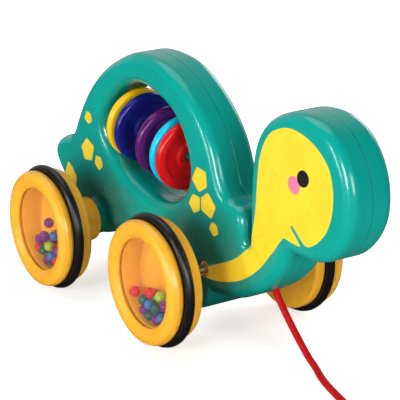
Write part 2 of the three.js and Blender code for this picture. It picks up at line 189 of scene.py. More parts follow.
# ---------------------------------------------------------------- shader helpers
class Shader:
    """Adds nodes to a tree. Values may be numbers, colours or other nodes' outputs."""

    def __init__(self, tree, end_node):
        self.tree = tree
        self.end = tree.nodes[end_node]

    def feed(self, socket, value):
        if isinstance(value, bpy.types.NodeSocket):
            self.tree.links.new(value, socket)
        elif socket.type == "RGBA":
            socket.default_value = (*value, 1)
        else:
            socket.default_value = value

    def finish(self, inputs):
        """Feeds the end node."""
        for name, value in inputs.items():
            self.feed(self.end.inputs[name], value)

    def add(self, kind, *numbered, **named):
        """A node; named values are inputs or settings, numbered ones its first inputs."""
        made = self.tree.nodes.new("ShaderNode" + kind)
        for key, value in named.items():
            if key in made.inputs:
                self.feed(made.inputs[key], value)
            else:
                setattr(made, key, value)
        for i, value in enumerate(numbered):
            self.feed(made.inputs[i], value)
        return made

    def coords(self, scale=(1, 1, 1)):
        """Object coordinates; a larger scale packs the pattern tighter along that axis."""
        place = self.add("TexCoord").outputs["Object"]
        return self.add("Mapping", Scale=scale, Vector=place).outputs["Vector"]

    def noise(self, vector, scale, detail=3.0, rough=0.5):
        made = self.add("TexNoise", Scale=scale, Detail=detail, Roughness=rough, Vector=vector)
        return made.outputs["Fac"]

    def remap(self, value, span, to=(0.0, 1.0)):
        ends = {"From Min": span[0], "From Max": span[1], "To Min": to[0], "To Max": to[1]}
        return self.add("MapRange", Value=value, **ends).outputs["Result"]

    def math(self, operation, first, second):
        return self.add("Math", first, second, operation=operation).outputs[0]

    def mix(self, factor, first, second, blend="MIX"):
        made = self.add("Mix", data_type="RGBA", blend_type=blend, Factor=factor)
        self.feed(made.inputs[6], first)  # inputs 6, 7 and output 2 are the colour ones
        self.feed(made.inputs[7], second)
        return made.outputs[2]

    def bump(self, height, strength, distance):
        made = self.add("Bump", Strength=strength, Distance=distance, Height=height)
        return made.outputs["Normal"]

    def corners(self, colour, shade_tint, reach=0.034):
        """Painted shade: deepens a colour where other surfaces close in on it, standing in for the
        shade that falls there.
        """
        closed = self.add("AmbientOcclusion", samples=6, Distance=reach).outputs["AO"]
        openness = self.remap(closed, span=(0.22, 0.90))
        shaded_colour = self.mix(1.0, colour, shade_tint, blend="MULTIPLY")
        return self.mix(openness, shaded_colour, colour)


def new_material(name):
    made = bpy.data.materials.new(name)
    made.use_nodes = True
    return made, Shader(made.node_tree, "Principled BSDF")


def srgb(*levels):
    """Linear colour from 0-255 levels."""
    shares = [level / 255 for level in levels]
    return tuple(c / 12.92 if c <= 0.04045 else ((c + 0.055) / 1.055) ** 2.4 for c in shares)


def tone(colour, factor, lift=0.0):
    return tuple(min(1, c * factor + lift) for c in colour)


# ---------------------------------------------------------------- materials
def plastic(name, colour, rough=0.28, mottle=0.06, wear=0.10, glow_through=0.0, painted_shade=None):
    """Moulded plastic: flow mottling, uneven gloss, orange peel, scratches, paler worn edges, and
    painted shade where other surfaces close in when a shade tint is given.
    """
    made, s = new_material(name)
    fine = s.coords()
    flow = s.noise(s.coords(scale=(1, 1.6, 1)), scale=34, detail=2.5, rough=0.55)
    streaks = s.remap(flow, span=(0.35, 0.65))
    base = s.mix(streaks, tone(colour, 1 - mottle), tone(colour, 1 + mottle))
    speck = s.noise(fine, scale=1900, detail=1.0)
    base = s.mix(s.remap(speck, span=(0.62, 0.75), to=(0.0, 0.18)), base, tone(colour, 0.82))
    sharpness = s.add("NewGeometry").outputs["Pointiness"]
    worn = s.remap(sharpness, span=(0.52, 0.60), to=(0.0, wear))
    base = s.mix(worn, base, tone(colour, 0.75, lift=0.22))
    # painted shade: the colour darkens towards this tint where other surfaces close in
    if painted_shade:
        base = s.corners(base, painted_shade)
    gloss = s.noise(fine, scale=90, rough=0.6)
    scratch = s.noise(s.coords(scale=(1, 14, 5)), scale=420, detail=2.0, rough=0.6)
    dull = s.remap(gloss, span=(0.3, 0.7), to=(rough * 0.85, rough * 1.2))
    dull = s.math("ADD", dull, s.remap(scratch, span=(0.60, 0.72), to=(0.0, 0.10)))
    peel = s.math("MULTIPLY", s.noise(fine, scale=620, detail=1.5, rough=0.4), 1.0)
    grooves = s.remap(scratch, span=(0.62, 0.74), to=(0.0, -1.0))
    height = s.math("ADD", peel, s.math("MULTIPLY", grooves, 0.25))
    s.finish({
        "Base Color": base,
        "Roughness": dull,
        "Normal": s.bump(height, strength=0.05, distance=0.00006),
        "IOR": 1.5,
        "Coat Roughness": 0.12,
    })
    if glow_through:
        s.finish({
            "Subsurface Weight": glow_through,
            "Subsurface Radius": (0.004, 0.003, 0.0015),
            "Subsurface Scale": 0.3,
        })
    return made


def rubber(name, colour):
    """Rubber with a film of dust and a fine grain."""
    made, s = new_material(name)
    place = s.coords()
    dust = s.noise(place, scale=120, detail=4.0, rough=0.65)
    grain = s.noise(place, scale=2600, detail=2.0, rough=0.6)
    dusty = (0.020, 0.020, 0.023)
    height = s.math("ADD", grain, s.math("MULTIPLY", dust, 0.6))
    s.finish({
        "Base Color": s.mix(s.remap(dust, span=(0.45, 0.75), to=(0.0, 0.25)), colour, dusty),
        "Roughness": s.remap(dust, span=(0.3, 0.7), to=(0.26, 0.36)),
        "Normal": s.bump(height, strength=0.22, distance=0.00005),
    })
    return made


def steel(name, colour, rough=0.28):
    """Steel with draw lines along Y and dull blotches."""
    made, s = new_material(name)
    drawn = s.noise(s.coords(scale=(1, 0.06, 1)), scale=4200, rough=0.7)
    blotch = s.noise(s.coords(), scale=260, rough=0.6)
    dark = s.remap(blotch, span=(0.35, 0.7), to=(0.0, 0.5))
    lines = s.remap(drawn, span=(0.3, 0.7), to=(rough * 0.7, rough * 1.25))
    dull = s.remap(blotch, span=(0.5, 0.75), to=(0.0, 0.12))
    s.finish({
        "Base Color": s.mix(dark, colour, tone(colour, 0.72)),
        "Metallic": 1.0,
        "Roughness": s.math("ADD", lines, dull),
        "Normal": s.bump(drawn, strength=0.18, distance=0.00002),
    })
    return made


def ink(name, colour, rough=0.3):
    """Pad-printed ink: faint pinholes, uneven coverage, and painted shade that turns it
    orange-brown where other surfaces close in.
    """
    made, s = new_material(name)
    place = s.coords()
    cover = s.noise(place, scale=70, rough=0.6)
    pinhole = s.noise(place, scale=1500, detail=1.0)
    base = s.mix(s.remap(cover, span=(0.35, 0.68)), tone(colour, 0.95), tone(colour, 1.04))
    base = s.mix(s.remap(pinhole, span=(0.70, 0.76), to=(0.0, 0.35)), base, tone(colour, 0.7))
    grain = s.noise(place, scale=700, detail=1.5)
    s.finish({
        # painted shade: the print darkens towards orange-brown where other surfaces close in
        "Base Color": s.corners(base, shade_tint=(0.85, 0.58, 0.3), reach=0.020),
        "Roughness": s.remap(cover, span=(0.3, 0.7), to=(rough * 0.85, rough * 1.25)),
        "Normal": s.bump(grain, strength=0.05, distance=0.00005),
    })
    return made


def clear(name):
    """Thin see-through window with a glossy front, faint haze and fine scratches."""
    made, s = new_material(name)
    haze = s.noise(s.coords(), scale=150, rough=0.6)
    clouded, clean = (0.90, 0.84, 0.74), (0.97, 0.93, 0.86)
    scratch = s.noise(s.coords(scale=(9, 1, 1)), scale=700, detail=2.0, rough=0.6)
    dull = s.remap(haze, span=(0.3, 0.7), to=(0.05, 0.09))
    scored = s.remap(scratch, span=(0.64, 0.74), to=(0.0, 0.12))
    s.finish({
        "Base Color": s.mix(s.remap(haze, span=(0.35, 0.7)), clouded, clean),
        "Roughness": s.math("ADD", dull, scored),
        "Alpha": 0.025,
        "IOR": 1.58,
        "Coat Weight": 0.1,
        "Coat Roughness": 0.05,
    })
    return made


def cord_fibre(name, colour):
    """Dull braided fibre with dark threads and faded stretches."""
    made, s = new_material(name)
    place = s.coords()
    thread = s.noise(place, scale=5200, rough=0.7)
    faded = s.noise(place, scale=120, rough=0.6)
    dark, light = tone(colour, 0.62), tone(colour, 1.15, lift=0.01)
    base = s.mix(s.remap(thread, span=(0.35, 0.7)), dark, light)
    patches = s.remap(faded, span=(0.4, 0.75), to=(0.0, 0.22))
    s.finish({
        "Base Color": s.mix(patches, base, tone(colour, 1, lift=0.02)),
        "Roughness": s.remap(thread, span=(0.3, 0.7), to=(0.55, 0.8)),
        "Specular IOR Level": 0.12,
        "Sheen Weight": 0.02,
        "Sheen Roughness": 0.4,
        "Sheen Tint": (1.0, 0.3, 0.25),
        "Normal": s.bump(thread, strength=0.5, distance=0.00008),
    })
    return made


def plastics(kind, colours, **look):
    return {key: plastic(f"{kind}_{key}_plastic", srgb(*c), **look) for key, c in colours.items()}


# the teal carries painted shade: it darkens in the slit behind the head and beside the wheels
TEAL = plastic(
    "teal_plastic", srgb(0, 163, 150), rough=0.19, wear=0.04, mottle=0.03, painted_shade=(0.20, 0.24, 0.24)
)
YELLOW_INK = ink("yellow_ink", srgb(250, 220, 50), rough=0.26)
BLACK_INK = ink("black_ink", srgb(30, 26, 32))
PINK_INK = ink("pink_ink", srgb(255, 128, 160))
ORANGE = plastic(
    "orange_plastic", srgb(255, 184, 48), rough=0.27, wear=0.08, mottle=0.03, glow_through=0.12
)
TYRE = rubber("black_rubber", srgb(15, 15, 21))
CLEAR = clear("clear_plastic")
AXLE = steel("drawn_steel", (0.62, 0.63, 0.65))
ZINC = steel("zinc_steel", (0.58, 0.59, 0.60), rough=0.32)
BUSH = plastic("bush_plastic", srgb(236, 160, 42), rough=0.4)
CORD_RED = cord_fibre("red_cord_fibre", srgb(206, 0, 5))
RING_COLOURS = {
    "yellow": (255, 200, 5), "blue": (20, 26, 124), "purple": (92, 14, 104),
    "cyan": (0, 200, 236), "red": (226, 12, 22),
}
BEAD_COLOURS = {
    "red": (226, 28, 44), "purple": (128, 30, 128), "lime": (170, 200, 30),
    "green": (20, 92, 84), "blue": (36, 110, 176),
}
RINGS = plastics("ring", {"yellow": RING_COLOURS["yellow"]}, rough=0.22)
RINGS.update(plastics(
    "ring", {key: c for key, c in RING_COLOURS.items() if key != "yellow"}, rough=0.2
))
BEADS = plastics("bead", BEAD_COLOURS, rough=0.16, mottle=0.1)


# ---------------------------------------------------------------- outline tools
def blend_at(t, start, end, first, second):
    """Value at t on the line through first at start and second at end."""
    return (end - t) / (end - start) * first + (t - start) / (end - start) * second


def catmull(points, per, closed=True):
    """Centripetal spline through the points, with per steps to each span."""
    p = np.asarray(points, float)
    n = len(p)
    out = []
    for i in range(n if closed else n - 1):
        if closed:
            a, b, c, d = p[i - 1], p[i], p[(i + 1) % n], p[(i + 2) % n]
        else:
            b, c = p[i], p[i + 1]
            a = p[i - 1] if i > 0 else 2 * b - c
            d = p[i + 2] if i + 2 < n else 2 * c - b
        t0 = 0.0
        t1 = t0 + np.linalg.norm(b - a) ** 0.5
        t2 = t1 + np.linalg.norm(c - b) ** 0.5
        t3 = t2 + np.linalg.norm(d - c) ** 0.5
        t = np.linspace(t1, t2, per, endpoint=False)[:, None]
        ab = blend_at(t, t0, t1, a, b)
        bc = blend_at(t, t1, t2, b, c)
        cd = blend_at(t, t2, t3, c, d)
        abc = blend_at(t, t0, t2, ab, bc)
        bcd = blend_at(t, t1, t3, bc, cd)
        out.append(blend_at(t, t1, t2, abc, bcd))
    if not closed:
        out.append(p[-1:])
    return np.concatenate(out)


def lengths(line):
    """Distance along a polyline to each of its points."""
    return np.concatenate([[0], np.cumsum(np.linalg.norm(np.diff(line, axis=0), axis=1))])


def walk(line, step, closed=True):
    """Even spacing along a polyline."""
    path = np.vstack([line, line[:1]]) if closed else line
    along = lengths(path)
    n = max(3, int(round(along[-1] / step)))
    if closed:
        stops = np.linspace(0, along[-1], n, endpoint=False)
    else:
        stops = np.linspace(0, along[-1], n + 1)
    return np.stack([np.interp(stops, along, path[:, k]) for k in range(path.shape[1])], 1)


def soften(line, step, sigma):
    """Gaussian smoothing along a closed, evenly spaced polyline."""
    reach = int(4 * sigma / step) + 1
    weights = np.exp(-0.5 * (np.arange(-reach, reach + 1) * step / sigma) ** 2)
    weights /= weights.sum()
    path = np.vstack([line[-reach:], line, line[:reach]])
    return np.stack([np.convolve(path[:, j], weights, "valid") for j in range(line.shape[1])], 1)


def thin_out(line, shortest, longest):
    """Keeps points so that the spacing is a share of the curve's radius, within limits."""
    radius_share = 0.3
    before = line - np.roll(line, 4, 0)
    after = np.roll(line, -4, 0) - line
    cross = before[:, 0] * after[:, 1] - before[:, 1] * after[:, 0]
    turning = np.abs(np.arctan2(cross, (before * after).sum(1)))
    radius = np.linalg.norm(before, axis=1) / np.maximum(turning, 1e-4)
    want = np.clip(radius * radius_share, shortest, longest)
    step = np.linalg.norm(np.roll(line, -1, 0) - line, axis=1)
    keep, run = [0], 0.0
    for i in range(1, len(line)):
        run += step[i - 1] / want[i]
        if run >= 1:
            keep.append(i)
            run = 0.0
    return line[keep]


def nearest_edge(points, poly):
    """Each point's distance to a closed polyline, its nearest segment and the share along it."""
    step = np.roll(poly, -1, 0) - poly
    square = (step**2).sum(1)
    n = len(points)
    distance, segment, share = np.empty(n), np.empty(n, int), np.empty(n)
    for i in range(0, n, 1500):  # in batches, to bound the memory
        batch = slice(i, i + 1500)
        part = points[batch, None, :]
        t = np.clip(((part - poly) * step).sum(2) / square, 0, 1)
        gap = np.sqrt(((part - (poly + t[..., None] * step)) ** 2).sum(2))
        best = gap.argmin(1)
        row = np.arange(len(best))
        distance[batch], segment[batch], share[batch] = gap[row, best], best, t[row, best]
    return distance, segment, share


def edge_distance(points, poly):
    return nearest_edge(points, poly)[0]


def edge_normals(points, poly, normals):
    """Distance to a closed polyline and the normal there, taken between its corners' normals."""
    distance, segment, share = nearest_edge(points, poly)
    share = share[:, None]
    normal = normals[segment] * (1 - share) + np.roll(normals, -1, 0)[segment] * share
    return distance, normal / np.linalg.norm(normal, axis=1)[:, None]


def inside(points, outer, *holes):
    """Which points lie in the outer polygon and in none of the holes."""
    x, y = points[:, 0], points[:, 1]
    hits = np.zeros(len(points), int)
    for (x0, y0), (x1, y1) in zip(outer, np.roll(outer, -1, 0)):
        spans = (y0 > y) != (y1 > y)
        with np.errstate(divide="ignore", invalid="ignore"):
            crossing = (x1 - x0) * (y - y0) / (y1 - y0) + x0
        hits += spans & (x < crossing)
    within = hits % 2 == 1
    for hole in holes:
        within &= ~inside(points, hole)
    return within


def left_normals(poly, sign=1):
    """Unit normals of a closed polyline; sign +1 points to the left of its direction."""
    tangent = np.roll(poly, -1, 0) - np.roll(poly, 1, 0)
    tangent /= np.linalg.norm(tangent, axis=1)[:, None]
    return sign * np.stack([-tangent[:, 1], tangent[:, 0]], 1)


def signed_area(poly):
    after = np.roll(poly, -1, 0)
    return 0.5 * (poly[:, 0] * after[:, 1] - poly[:, 1] * after[:, 0]).sum()


def ramp(t):
    """Smooth step from 0 to 1."""
    t = np.clip(t, 0, 1)
    return t * t * (3 - 2 * t)


def outline(points, sigma, shortest, longest, guard=None):
    """A smoothed anticlockwise outline; guard is the place and reach of a detail kept sharp."""
    fine = walk(catmull(points, 24), 0.25)
    soft = soften(fine, 0.25, sigma)
    if guard is not None:
        (x, z), reach = guard
        away = np.hypot(fine[:, 0] - x, (fine[:, 1] - z) * 0.5) - reach
        weight = ramp(away / 6)[:, None]
        soft = soft * weight + soften(fine, 0.25, 0.35) * (1 - weight)
    line = walk(soft, 0.2)
    if signed_area(line) < 0:
        line = line[::-1]
    return thin_out(line, shortest, longest)


def patch(points):
    """A polygon with slightly rounded corners."""
    corner = 0.7
    p = np.asarray(points, float)
    out = []
    for i in range(len(p)):
        before, here, after = p[i - 1], p[i], p[(i + 1) % len(p)]
        start = here + (before - here) / np.linalg.norm(before - here) * corner
        end = here + (after - here) / np.linalg.norm(after - here) * corner
        for t in np.linspace(0, 1, 5):
            out.append((1 - t) ** 2 * start + 2 * t * (1 - t) * here + t * t * end)
    return walk(np.array(out), 0.9)


def ellipse(points, n=40):
    """The ellipse that best covers a few points."""
    p = np.asarray(points, float)
    centre = p.mean(0)
    _, spread, axes = np.linalg.svd(p - centre)
    q = (p - centre) @ axes.T
    grow = np.sqrt(np.mean((q[:, 0] / spread[0]) ** 2 + (q[:, 1] / spread[1]) ** 2))
    t = np.linspace(0, 2 * math.pi, n, endpoint=False)
    ring = [np.cos(t) * spread[0] * grow, np.sin(t) * spread[1] * grow]
    return centre + np.stack(ring, 1) @ axes


def face_outline():
    runs = [
        catmull(FACE_TOP, 10, closed=False), np.array(FACE_CHIN, float),
        catmull(FACE_JAW, 6, closed=False), catmull(FACE_LOW, 10, closed=False),
    ]
    return walk(np.vstack([run[:-1] for run in runs]), 0.9)


OUTER = outline(BODY, 2.2, 0.45, 1.7, guard=(NOTCH, NOTCH_R))
OPENING = outline(HOLE, 2.6, 0.8, 1.7)
OPENING_MIDDLE = OPENING.mean(0)
INTO_OUTER = left_normals(OUTER)  # both sets of normals point into the material
INTO_OPENING = left_normals(OPENING, -1)
EYE_LINE = ellipse(EYE)
CHEEK_LINE = walk(soften(walk(catmull(CHEEK, 16), 0.1), 0.1, 0.6), 0.8)
YELLOW_PRINTS = [patch(spot) for spot in SPOTS] + [face_outline()]


# ---------------------------------------------------------------- body surface
def rim_radius(points):
    """Rounding of the opening's rim: larger at the rear and below."""
    away = points - OPENING_MIDDLE
    away = away / np.linalg.norm(away, axis=1)[:, None]
    return 4.6 + 2.8 * ramp(0.5 - 0.6 * (away[:, 0] * 0.9 + away[:, 1] * 0.25))


def boss_flare(points, edge_gap):
    """Rise of the skin around the rear boss, and its slope along x and z."""
    dx, dz = points[:, 0], points[:, 1] - AXLE_Z
    r = np.hypot(dx, dz)
    t = np.clip((FLARE_R - r) / (FLARE_R - BOSS_R), 0, 1)
    weight = ramp(edge_gap / 5.0)
    full = 1 - math.sqrt(1 - FLARE_ARC**2)
    rest = 1 - (FLARE_ARC * t) ** 2
    rise = FLARE_RISE * (1 - np.sqrt(np.maximum(rest, 0))) / full
    slope = -FLARE_RISE * FLARE_ARC**2 * t / np.sqrt(np.maximum(rest, 1e-3))
    slope = slope / (FLARE_R - BOSS_R) / full
    live = (t > 0) & (t < 1)
    along = [np.where(live, slope * weight * d / np.maximum(r, 1e-6), 0) for d in (dx, dz)]
    return rise * weight, *along


def surface(points):
    """Half thickness of the body at points of the side plane and its outward normal for +Y,
    then the distances to the outer edge and the opening, and the normals of those edges."""
    gap_out, n_out = edge_normals(points, OUTER, INTO_OUTER)
    gap_hole, n_hole = edge_normals(points, OPENING, INTO_OPENING)
    rim = rim_radius(points)
    lean_out = np.clip(1 - gap_out / EDGE_R, 0, 1)
    lean_hole = np.clip(1 - gap_hole / rim, 0, 1)
    half_out = BODY_HALF - EDGE_R + EDGE_R * np.sqrt(1 - lean_out**2)
    half_hole = BODY_HALF - rim + rim * np.sqrt(1 - lean_hole**2)
    at_hole = half_hole < half_out
    lean = np.where(at_hole, lean_hole, lean_out)
    away = -np.where(at_hole[:, None], n_hole, n_out)
    upright = np.sqrt(1 - lean**2)
    rise, slope_x, slope_z = boss_flare(points, gap_out)
    half = np.where(at_hole, half_hole, half_out) + rise
    normal = np.stack([
        lean * away[:, 0] - upright * slope_x, upright, lean * away[:, 1] - upright * slope_z
    ], 1)
    normal /= np.linalg.norm(normal, axis=1)[:, None]
    return half, normal, gap_out, gap_hole, n_out, n_hole


def ring_edges(loops):
    """Index pairs closing each loop, the points being numbered through all loops."""
    edges, base = [], 0
    for loop in loops:
        n = len(loop)
        edges += [(base + i, base + (i + 1) % n) for i in range(n)]
        base += n
    return edges


def triangulate(points, edges, epsilon):
    """Constrained triangles: points, triangles, and the given points behind each point."""
    given = [Vector(p) for p in points]
    verts, _, faces, origins, _, _ = geometry.delaunay_2d_cdt(given, edges, [], 0, epsilon)
    triangles = np.array([f for f in faces if len(f) == 3])
    return np.array([tuple(v) for v in verts]), triangles, origins


def cheek_behind_eye():
    """The cheek's line left outside the eye, the zone it closes off with the eye's line, and
    the eye points nearest to the line's start and end."""
    cheek = CHEEK_LINE[edge_distance(CHEEK_LINE, EYE_LINE) > 0.15]
    cheek = cheek[~inside(cheek, EYE_LINE)]
    gap = int(np.argmax(np.linalg.norm(np.roll(cheek, -1, 0) - cheek, axis=1)))
    cheek = np.roll(cheek, -(gap + 1), 0)
    first, last = (
        int(np.argmin(np.linalg.norm(EYE_LINE - end, axis=1))) for end in (cheek[0], cheek[-1])
    )
    n = len(EYE_LINE)
    forth = [EYE_LINE[(last + i) % n] for i in range((first - last) % n + 1)]
    back = [EYE_LINE[(last - i) % n] for i in range((last - first) % n + 1)]
    shorter = forth if len(forth) < len(back) else back
    return cheek, np.vstack([cheek, shorter]), first, last


def filling(print_lines):
    """Points between the outlines: rings down both roundings, rings around the rear boss and
    an even grid on the flat."""
    found = []
    roundings = (
        (OUTER, INTO_OUTER, np.full(len(OUTER), EDGE_R)),
        (OPENING, INTO_OPENING, rim_radius(OPENING)),
    )
    for i in range(1, 9):
        share = 1 - math.cos(math.radians(i * 90 / 8))
        for poly, normals, radius in roundings:
            ring = poly + normals * (radius * share)[:, None]
            found.append(ring[edge_distance(ring, poly) > radius * share - 0.03])
    for share in (0.0, 0.06, 0.14, 0.26, 0.42, 0.6, 0.8, 1.0):
        r = BOSS_R - 0.05 + (FLARE_R - BOSS_R) * share
        n = int(2 * math.pi * r / 1.5)
        angle = np.arange(n) * 2 * math.pi / n
        found.append(np.stack([r * np.cos(angle), AXLE_Z + r * np.sin(angle)], 1))
    step = 2.9
    gx, gz = np.meshgrid(np.arange(-45, 200, step), np.arange(15, 120, step * 0.866))
    gx = gx + (np.arange(gx.shape[0]) % 2)[:, None] * step / 2
    grid = np.stack([gx.ravel(), gz.ravel()], 1)
    flat = edge_distance(grid, OUTER) > EDGE_R + 0.9
    flat &= edge_distance(grid, OPENING) > rim_radius(grid) + 0.9
    r = np.hypot(grid[:, 0], grid[:, 1] - AXLE_Z)
    flat &= (r > FLARE_R + 1) | (r < BOSS_R - 1)
    found.append(grid[flat])
    free = np.concatenate(found)
    free = free[inside(free, OUTER, OPENING)]
    clear_of_edges = edge_distance(free, OUTER) > 0.08
    free = free[clear_of_edges & (edge_distance(free, OPENING) > 0.08)]
    for line in print_lines:
        free = free[edge_distance(free, line) > 0.35]
    return free


def plan_layout():
    """The side plane's points, triangles, material numbers and the two rims' point numbers."""
    loops = [OUTER, OPENING, *YELLOW_PRINTS, EYE_LINE]
    edges = ring_edges(loops)
    cheek, cheek_zone, first, last = cheek_behind_eye()
    base = sum(map(len, loops))
    eye = base - len(EYE_LINE)
    chain = [eye + first, *range(base, base + len(cheek)), eye + last]
    edges += zip(chain[:-1], chain[1:])
    free = filling([*YELLOW_PRINTS, EYE_LINE, cheek_zone])
    points, triangles, origins = triangulate(np.vstack([*loops, cheek, free]), edges, 1e-5)
    number = {old: new for new, olds in enumerate(origins) for old in olds}
    centres = points[triangles].mean(1)
    keep = inside(centres, OUTER, OPENING)
    triangles, centres = triangles[keep], centres[keep]
    inks = np.zeros(len(triangles), int)
    for line in YELLOW_PRINTS:
        inks[inside(centres, line)] = 1
    inks[inside(centres, cheek_zone)] = 3
    inks[inside(centres, EYE_LINE)] = 2
    outer_n = len(OUTER)
    rims = [range(outer_n), range(outer_n, outer_n + len(OPENING))]
    return points, triangles, inks, [[number[i] for i in rim] for rim in rims]


def fill(loops):
    """Triangles inside the first loop and outside the others, in the loops' point numbers."""
    points, triangles, origins = triangulate(np.vstack(loops), ring_edges(loops), 1e-7)
    given = {}
    for new, olds in enumerate(origins):
        for old in olds:
            given.setdefault(new, old)
    keep = inside(points[triangles].mean(1), *loops)
    return [[given[i] for i in t] for t in triangles[keep]]


# ---------------------------------------------------------------- solids
def new_object(name, data):
    made = bpy.data.objects.new(name, data)
    SCENE.collection.objects.link(made)
    return made


def mesh_object(name, verts, faces, inks=None, scale=1.0):
    """A mesh with merged points and outward faces, scaled after merging."""
    me = bpy.data.meshes.new(name)
    me.from_pydata([tuple(v) for v in verts], [], [tuple(int(i) for i in f) for f in faces])
    if inks is not None:
        me.polygons.foreach_set("material_index", np.asarray(inks, np.int32))
    bm = bmesh.new()
    bm.from_mesh(me)
    bmesh.ops.remove_doubles(bm, verts=bm.verts, dist=1e-6 / scale)
    bmesh.ops.recalc_face_normals(bm, faces=bm.faces)
    if bm.calc_volume(signed=True) < 0:
        bmesh.ops.reverse_faces(bm, faces=bm.faces)
    bm.to_mesh(me)
    bm.free()
    if scale != 1.0:
        me.transform(Matrix.Scale(scale, 4))
    me.update()
    return new_object(name, me)


def bands(rows, closed=False):
    """Faces between successive rings of vertices; a ring of one vertex is a pole."""
    faces = []
    for first, second in zip(rows, rows[1:] + rows[:1] if closed else rows[1:]):
        n = max(len(first), len(second))
        for i in range(n):
            j = (i + 1) % n
            corners = [
                first[i % len(first)], first[j % len(first)],
                second[j % len(second)], second[i % len(second)],
            ]
            face = tuple(v for k, v in enumerate(corners) if v != corners[k - 1])
            if len(face) > 2:
                faces.append(face)
    return faces


def numbered_rows(count, around, base=0):
    return [list(range(base + j * around, base + (j + 1) * around)) for j in range(count)]


def upright(line, y):
    """Points of the side plane, placed at y."""
    return np.stack([line[:, 0], np.full(len(line), y) if np.isscalar(y) else y, line[:, 1]], 1)


def slab(name, sign, layout):
    """One solid body half: flat skin rounded at its edges and raised round the rear boss, edge
    wall, bevelled parting line, flat mating face.
    """
    points, triangles, inks, rims = layout
    half = surface(points)[0]
    verts = [upright(points, sign * half)]
    faces = [tuple(t) for t in triangles]
    base = len(points)
    mate_ids, mate_lines = [], []
    bevel_y = SPLIT + SEAM_RISE
    for rim, poly, normals in zip(rims, (OUTER, OPENING), (INTO_OUTER, INTO_OPENING)):
        n = len(rim)
        for share in (0.5, 0.0):
            verts.append(upright(poly, sign * (bevel_y + (half[rim] - SPLIT - SEAM_RISE) * share)))
        mate = poly + normals * SEAM_INSET
        verts.append(upright(mate, sign * SPLIT))
        rows = [list(rim)] + numbered_rows(3, n, base)
        base += 3 * n
        faces += bands(rows)
        mate_ids += rows[-1]
        mate_lines.append(mate)
    faces += [tuple(mate_ids[i] for i in t) for t in fill(mate_lines)]
    inks = list(inks) + [0] * (len(faces) - len(triangles))
    return mesh_object(name, np.vstack(verts), faces, inks)


def prism(loops, y0, y1, slope):
    """A straight solid between two planes of y, with a sloped edge at y1."""
    verts, faces, start_ids, end_ids = [], [], [], []
    base = 0
    for k, line in enumerate(loops):
        n = len(line)
        verts += [
            upright(line, y0),
            upright(line, y1 - slope * np.sign(y1 - y0)),
            upright(line + left_normals(line, 1 if k == 0 else -1) * slope, y1),
        ]
        rows = numbered_rows(3, n, base)
        base += 3 * n
        faces += bands(rows)
        start_ids += rows[0]
        end_ids += rows[-1]
    flat = fill(loops)
    for ids in (start_ids, end_ids):
        faces += [tuple(ids[i] for i in t) for t in flat]
    return mesh_object("cutter", np.vstack(verts), faces)


def box(x, y, z):
    verts = [(a, b, c) for a in x for b in y for c in z]
    faces = [(0, 1, 3, 2), (4, 6, 7, 5), (0, 4, 5, 1), (2, 3, 7, 6), (0, 2, 6, 4), (1, 5, 7, 3)]
    return mesh_object("cutter", verts, faces)


def on_axis(profile):
    return profile[0][0] == 0 and profile[-1][0] == 0


def fillet(profile, steps):
    """Rounds the corners of a profile of (radius, along[, rounding])."""
    n = len(profile)
    out = []
    for i, point in enumerate(profile):
        rounding = point[2] if len(point) > 2 else 0
        here = np.array(point[:2], float)
        if rounding <= 0 or (on_axis(profile) and i in (0, n - 1)):
            out.append(tuple(here))
            continue
        before = np.array(profile[i - 1][:2], float)
        after = np.array(profile[(i + 1) % n][:2], float)
        back, ahead = np.linalg.norm(before - here), np.linalg.norm(after - here)
        u, w = (before - here) / back, (after - here) / ahead
        corner = math.acos(max(-1, min(1, float(u @ w))))
        if corner > math.pi - 0.05:
            out.append(tuple(here))
            continue
        cut = min(rounding / math.tan(corner / 2), 0.48 * back, 0.48 * ahead)
        radius = cut * math.tan(corner / 2)
        middle = (u + w) / np.linalg.norm(u + w)
        centre = here + middle * (radius / math.sin(corner / 2))
        start, end = here + u * cut - centre, here + w * cut - centre
        angle = math.atan2(start[1], start[0])
        sweep = (math.atan2(end[1], end[0]) - angle + math.pi) % (2 * math.pi) - math.pi
        k = max(2, int(math.ceil(abs(sweep) / math.radians(90) * steps)))
        for j in range(k + 1):
            t = angle + sweep * j / k
            out.append((centre[0] + radius * math.cos(t), centre[1] + radius * math.sin(t)))
    clean = [out[0]]
    for point in out[1:]:
        if math.dist(point, clean[-1]) > 1e-4:
            clean.append(point)
    return clean


def turn(name, profile, around, centre, sign=1, axis=None, steps=5, scale=1.0):
    """A profile turned about an axis through centre; without axis it is Y, outwards for sign."""
    if axis is None:
        ahead, across, over = Vector((0, sign, 0)), Vector((1, 0, 0)), Vector((0, 0, 1))
    else:
        ahead = Vector(axis).normalized()
        across = Vector((0, 1, 0)) if abs(ahead.y) < 0.9 else Vector((1, 0, 0))
        across = (across - ahead * across.dot(ahead)).normalized()
        over = ahead.cross(across)
    centre = Vector(centre)
    verts, rows = [], []
    for radius, along in fillet(profile, steps):
        n = 1 if radius < 1e-6 else around
        rows.append(list(range(len(verts), len(verts) + n)))
        if n == 1:
            verts.append(centre + ahead * along)
            continue
        for i in range(n):
            t = 2 * math.pi * i / n
            spoke = across * (radius * math.cos(t))
            verts.append(centre + ahead * along + spoke + over * (radius * math.sin(t)))
    return mesh_object(name, verts, bands(rows, closed=not on_axis(profile)), scale=scale)


def bar(radius, start, end, start_round=0, end_round=0):
    """Profile of a solid cylinder."""
    return [(0, start), (radius, start, start_round), (radius, end, end_round), (0, end)]


def merged(pieces):
    """Several loose solids in one object, for one boolean."""
    bm = bmesh.new()
    for piece in pieces:
        bm.from_mesh(piece.data)
    me = bpy.data.meshes.new("merged")
    bm.to_mesh(me)
    bm.free()
    for piece in pieces:
        bpy.data.objects.remove(piece)
    return new_object("merged", me)


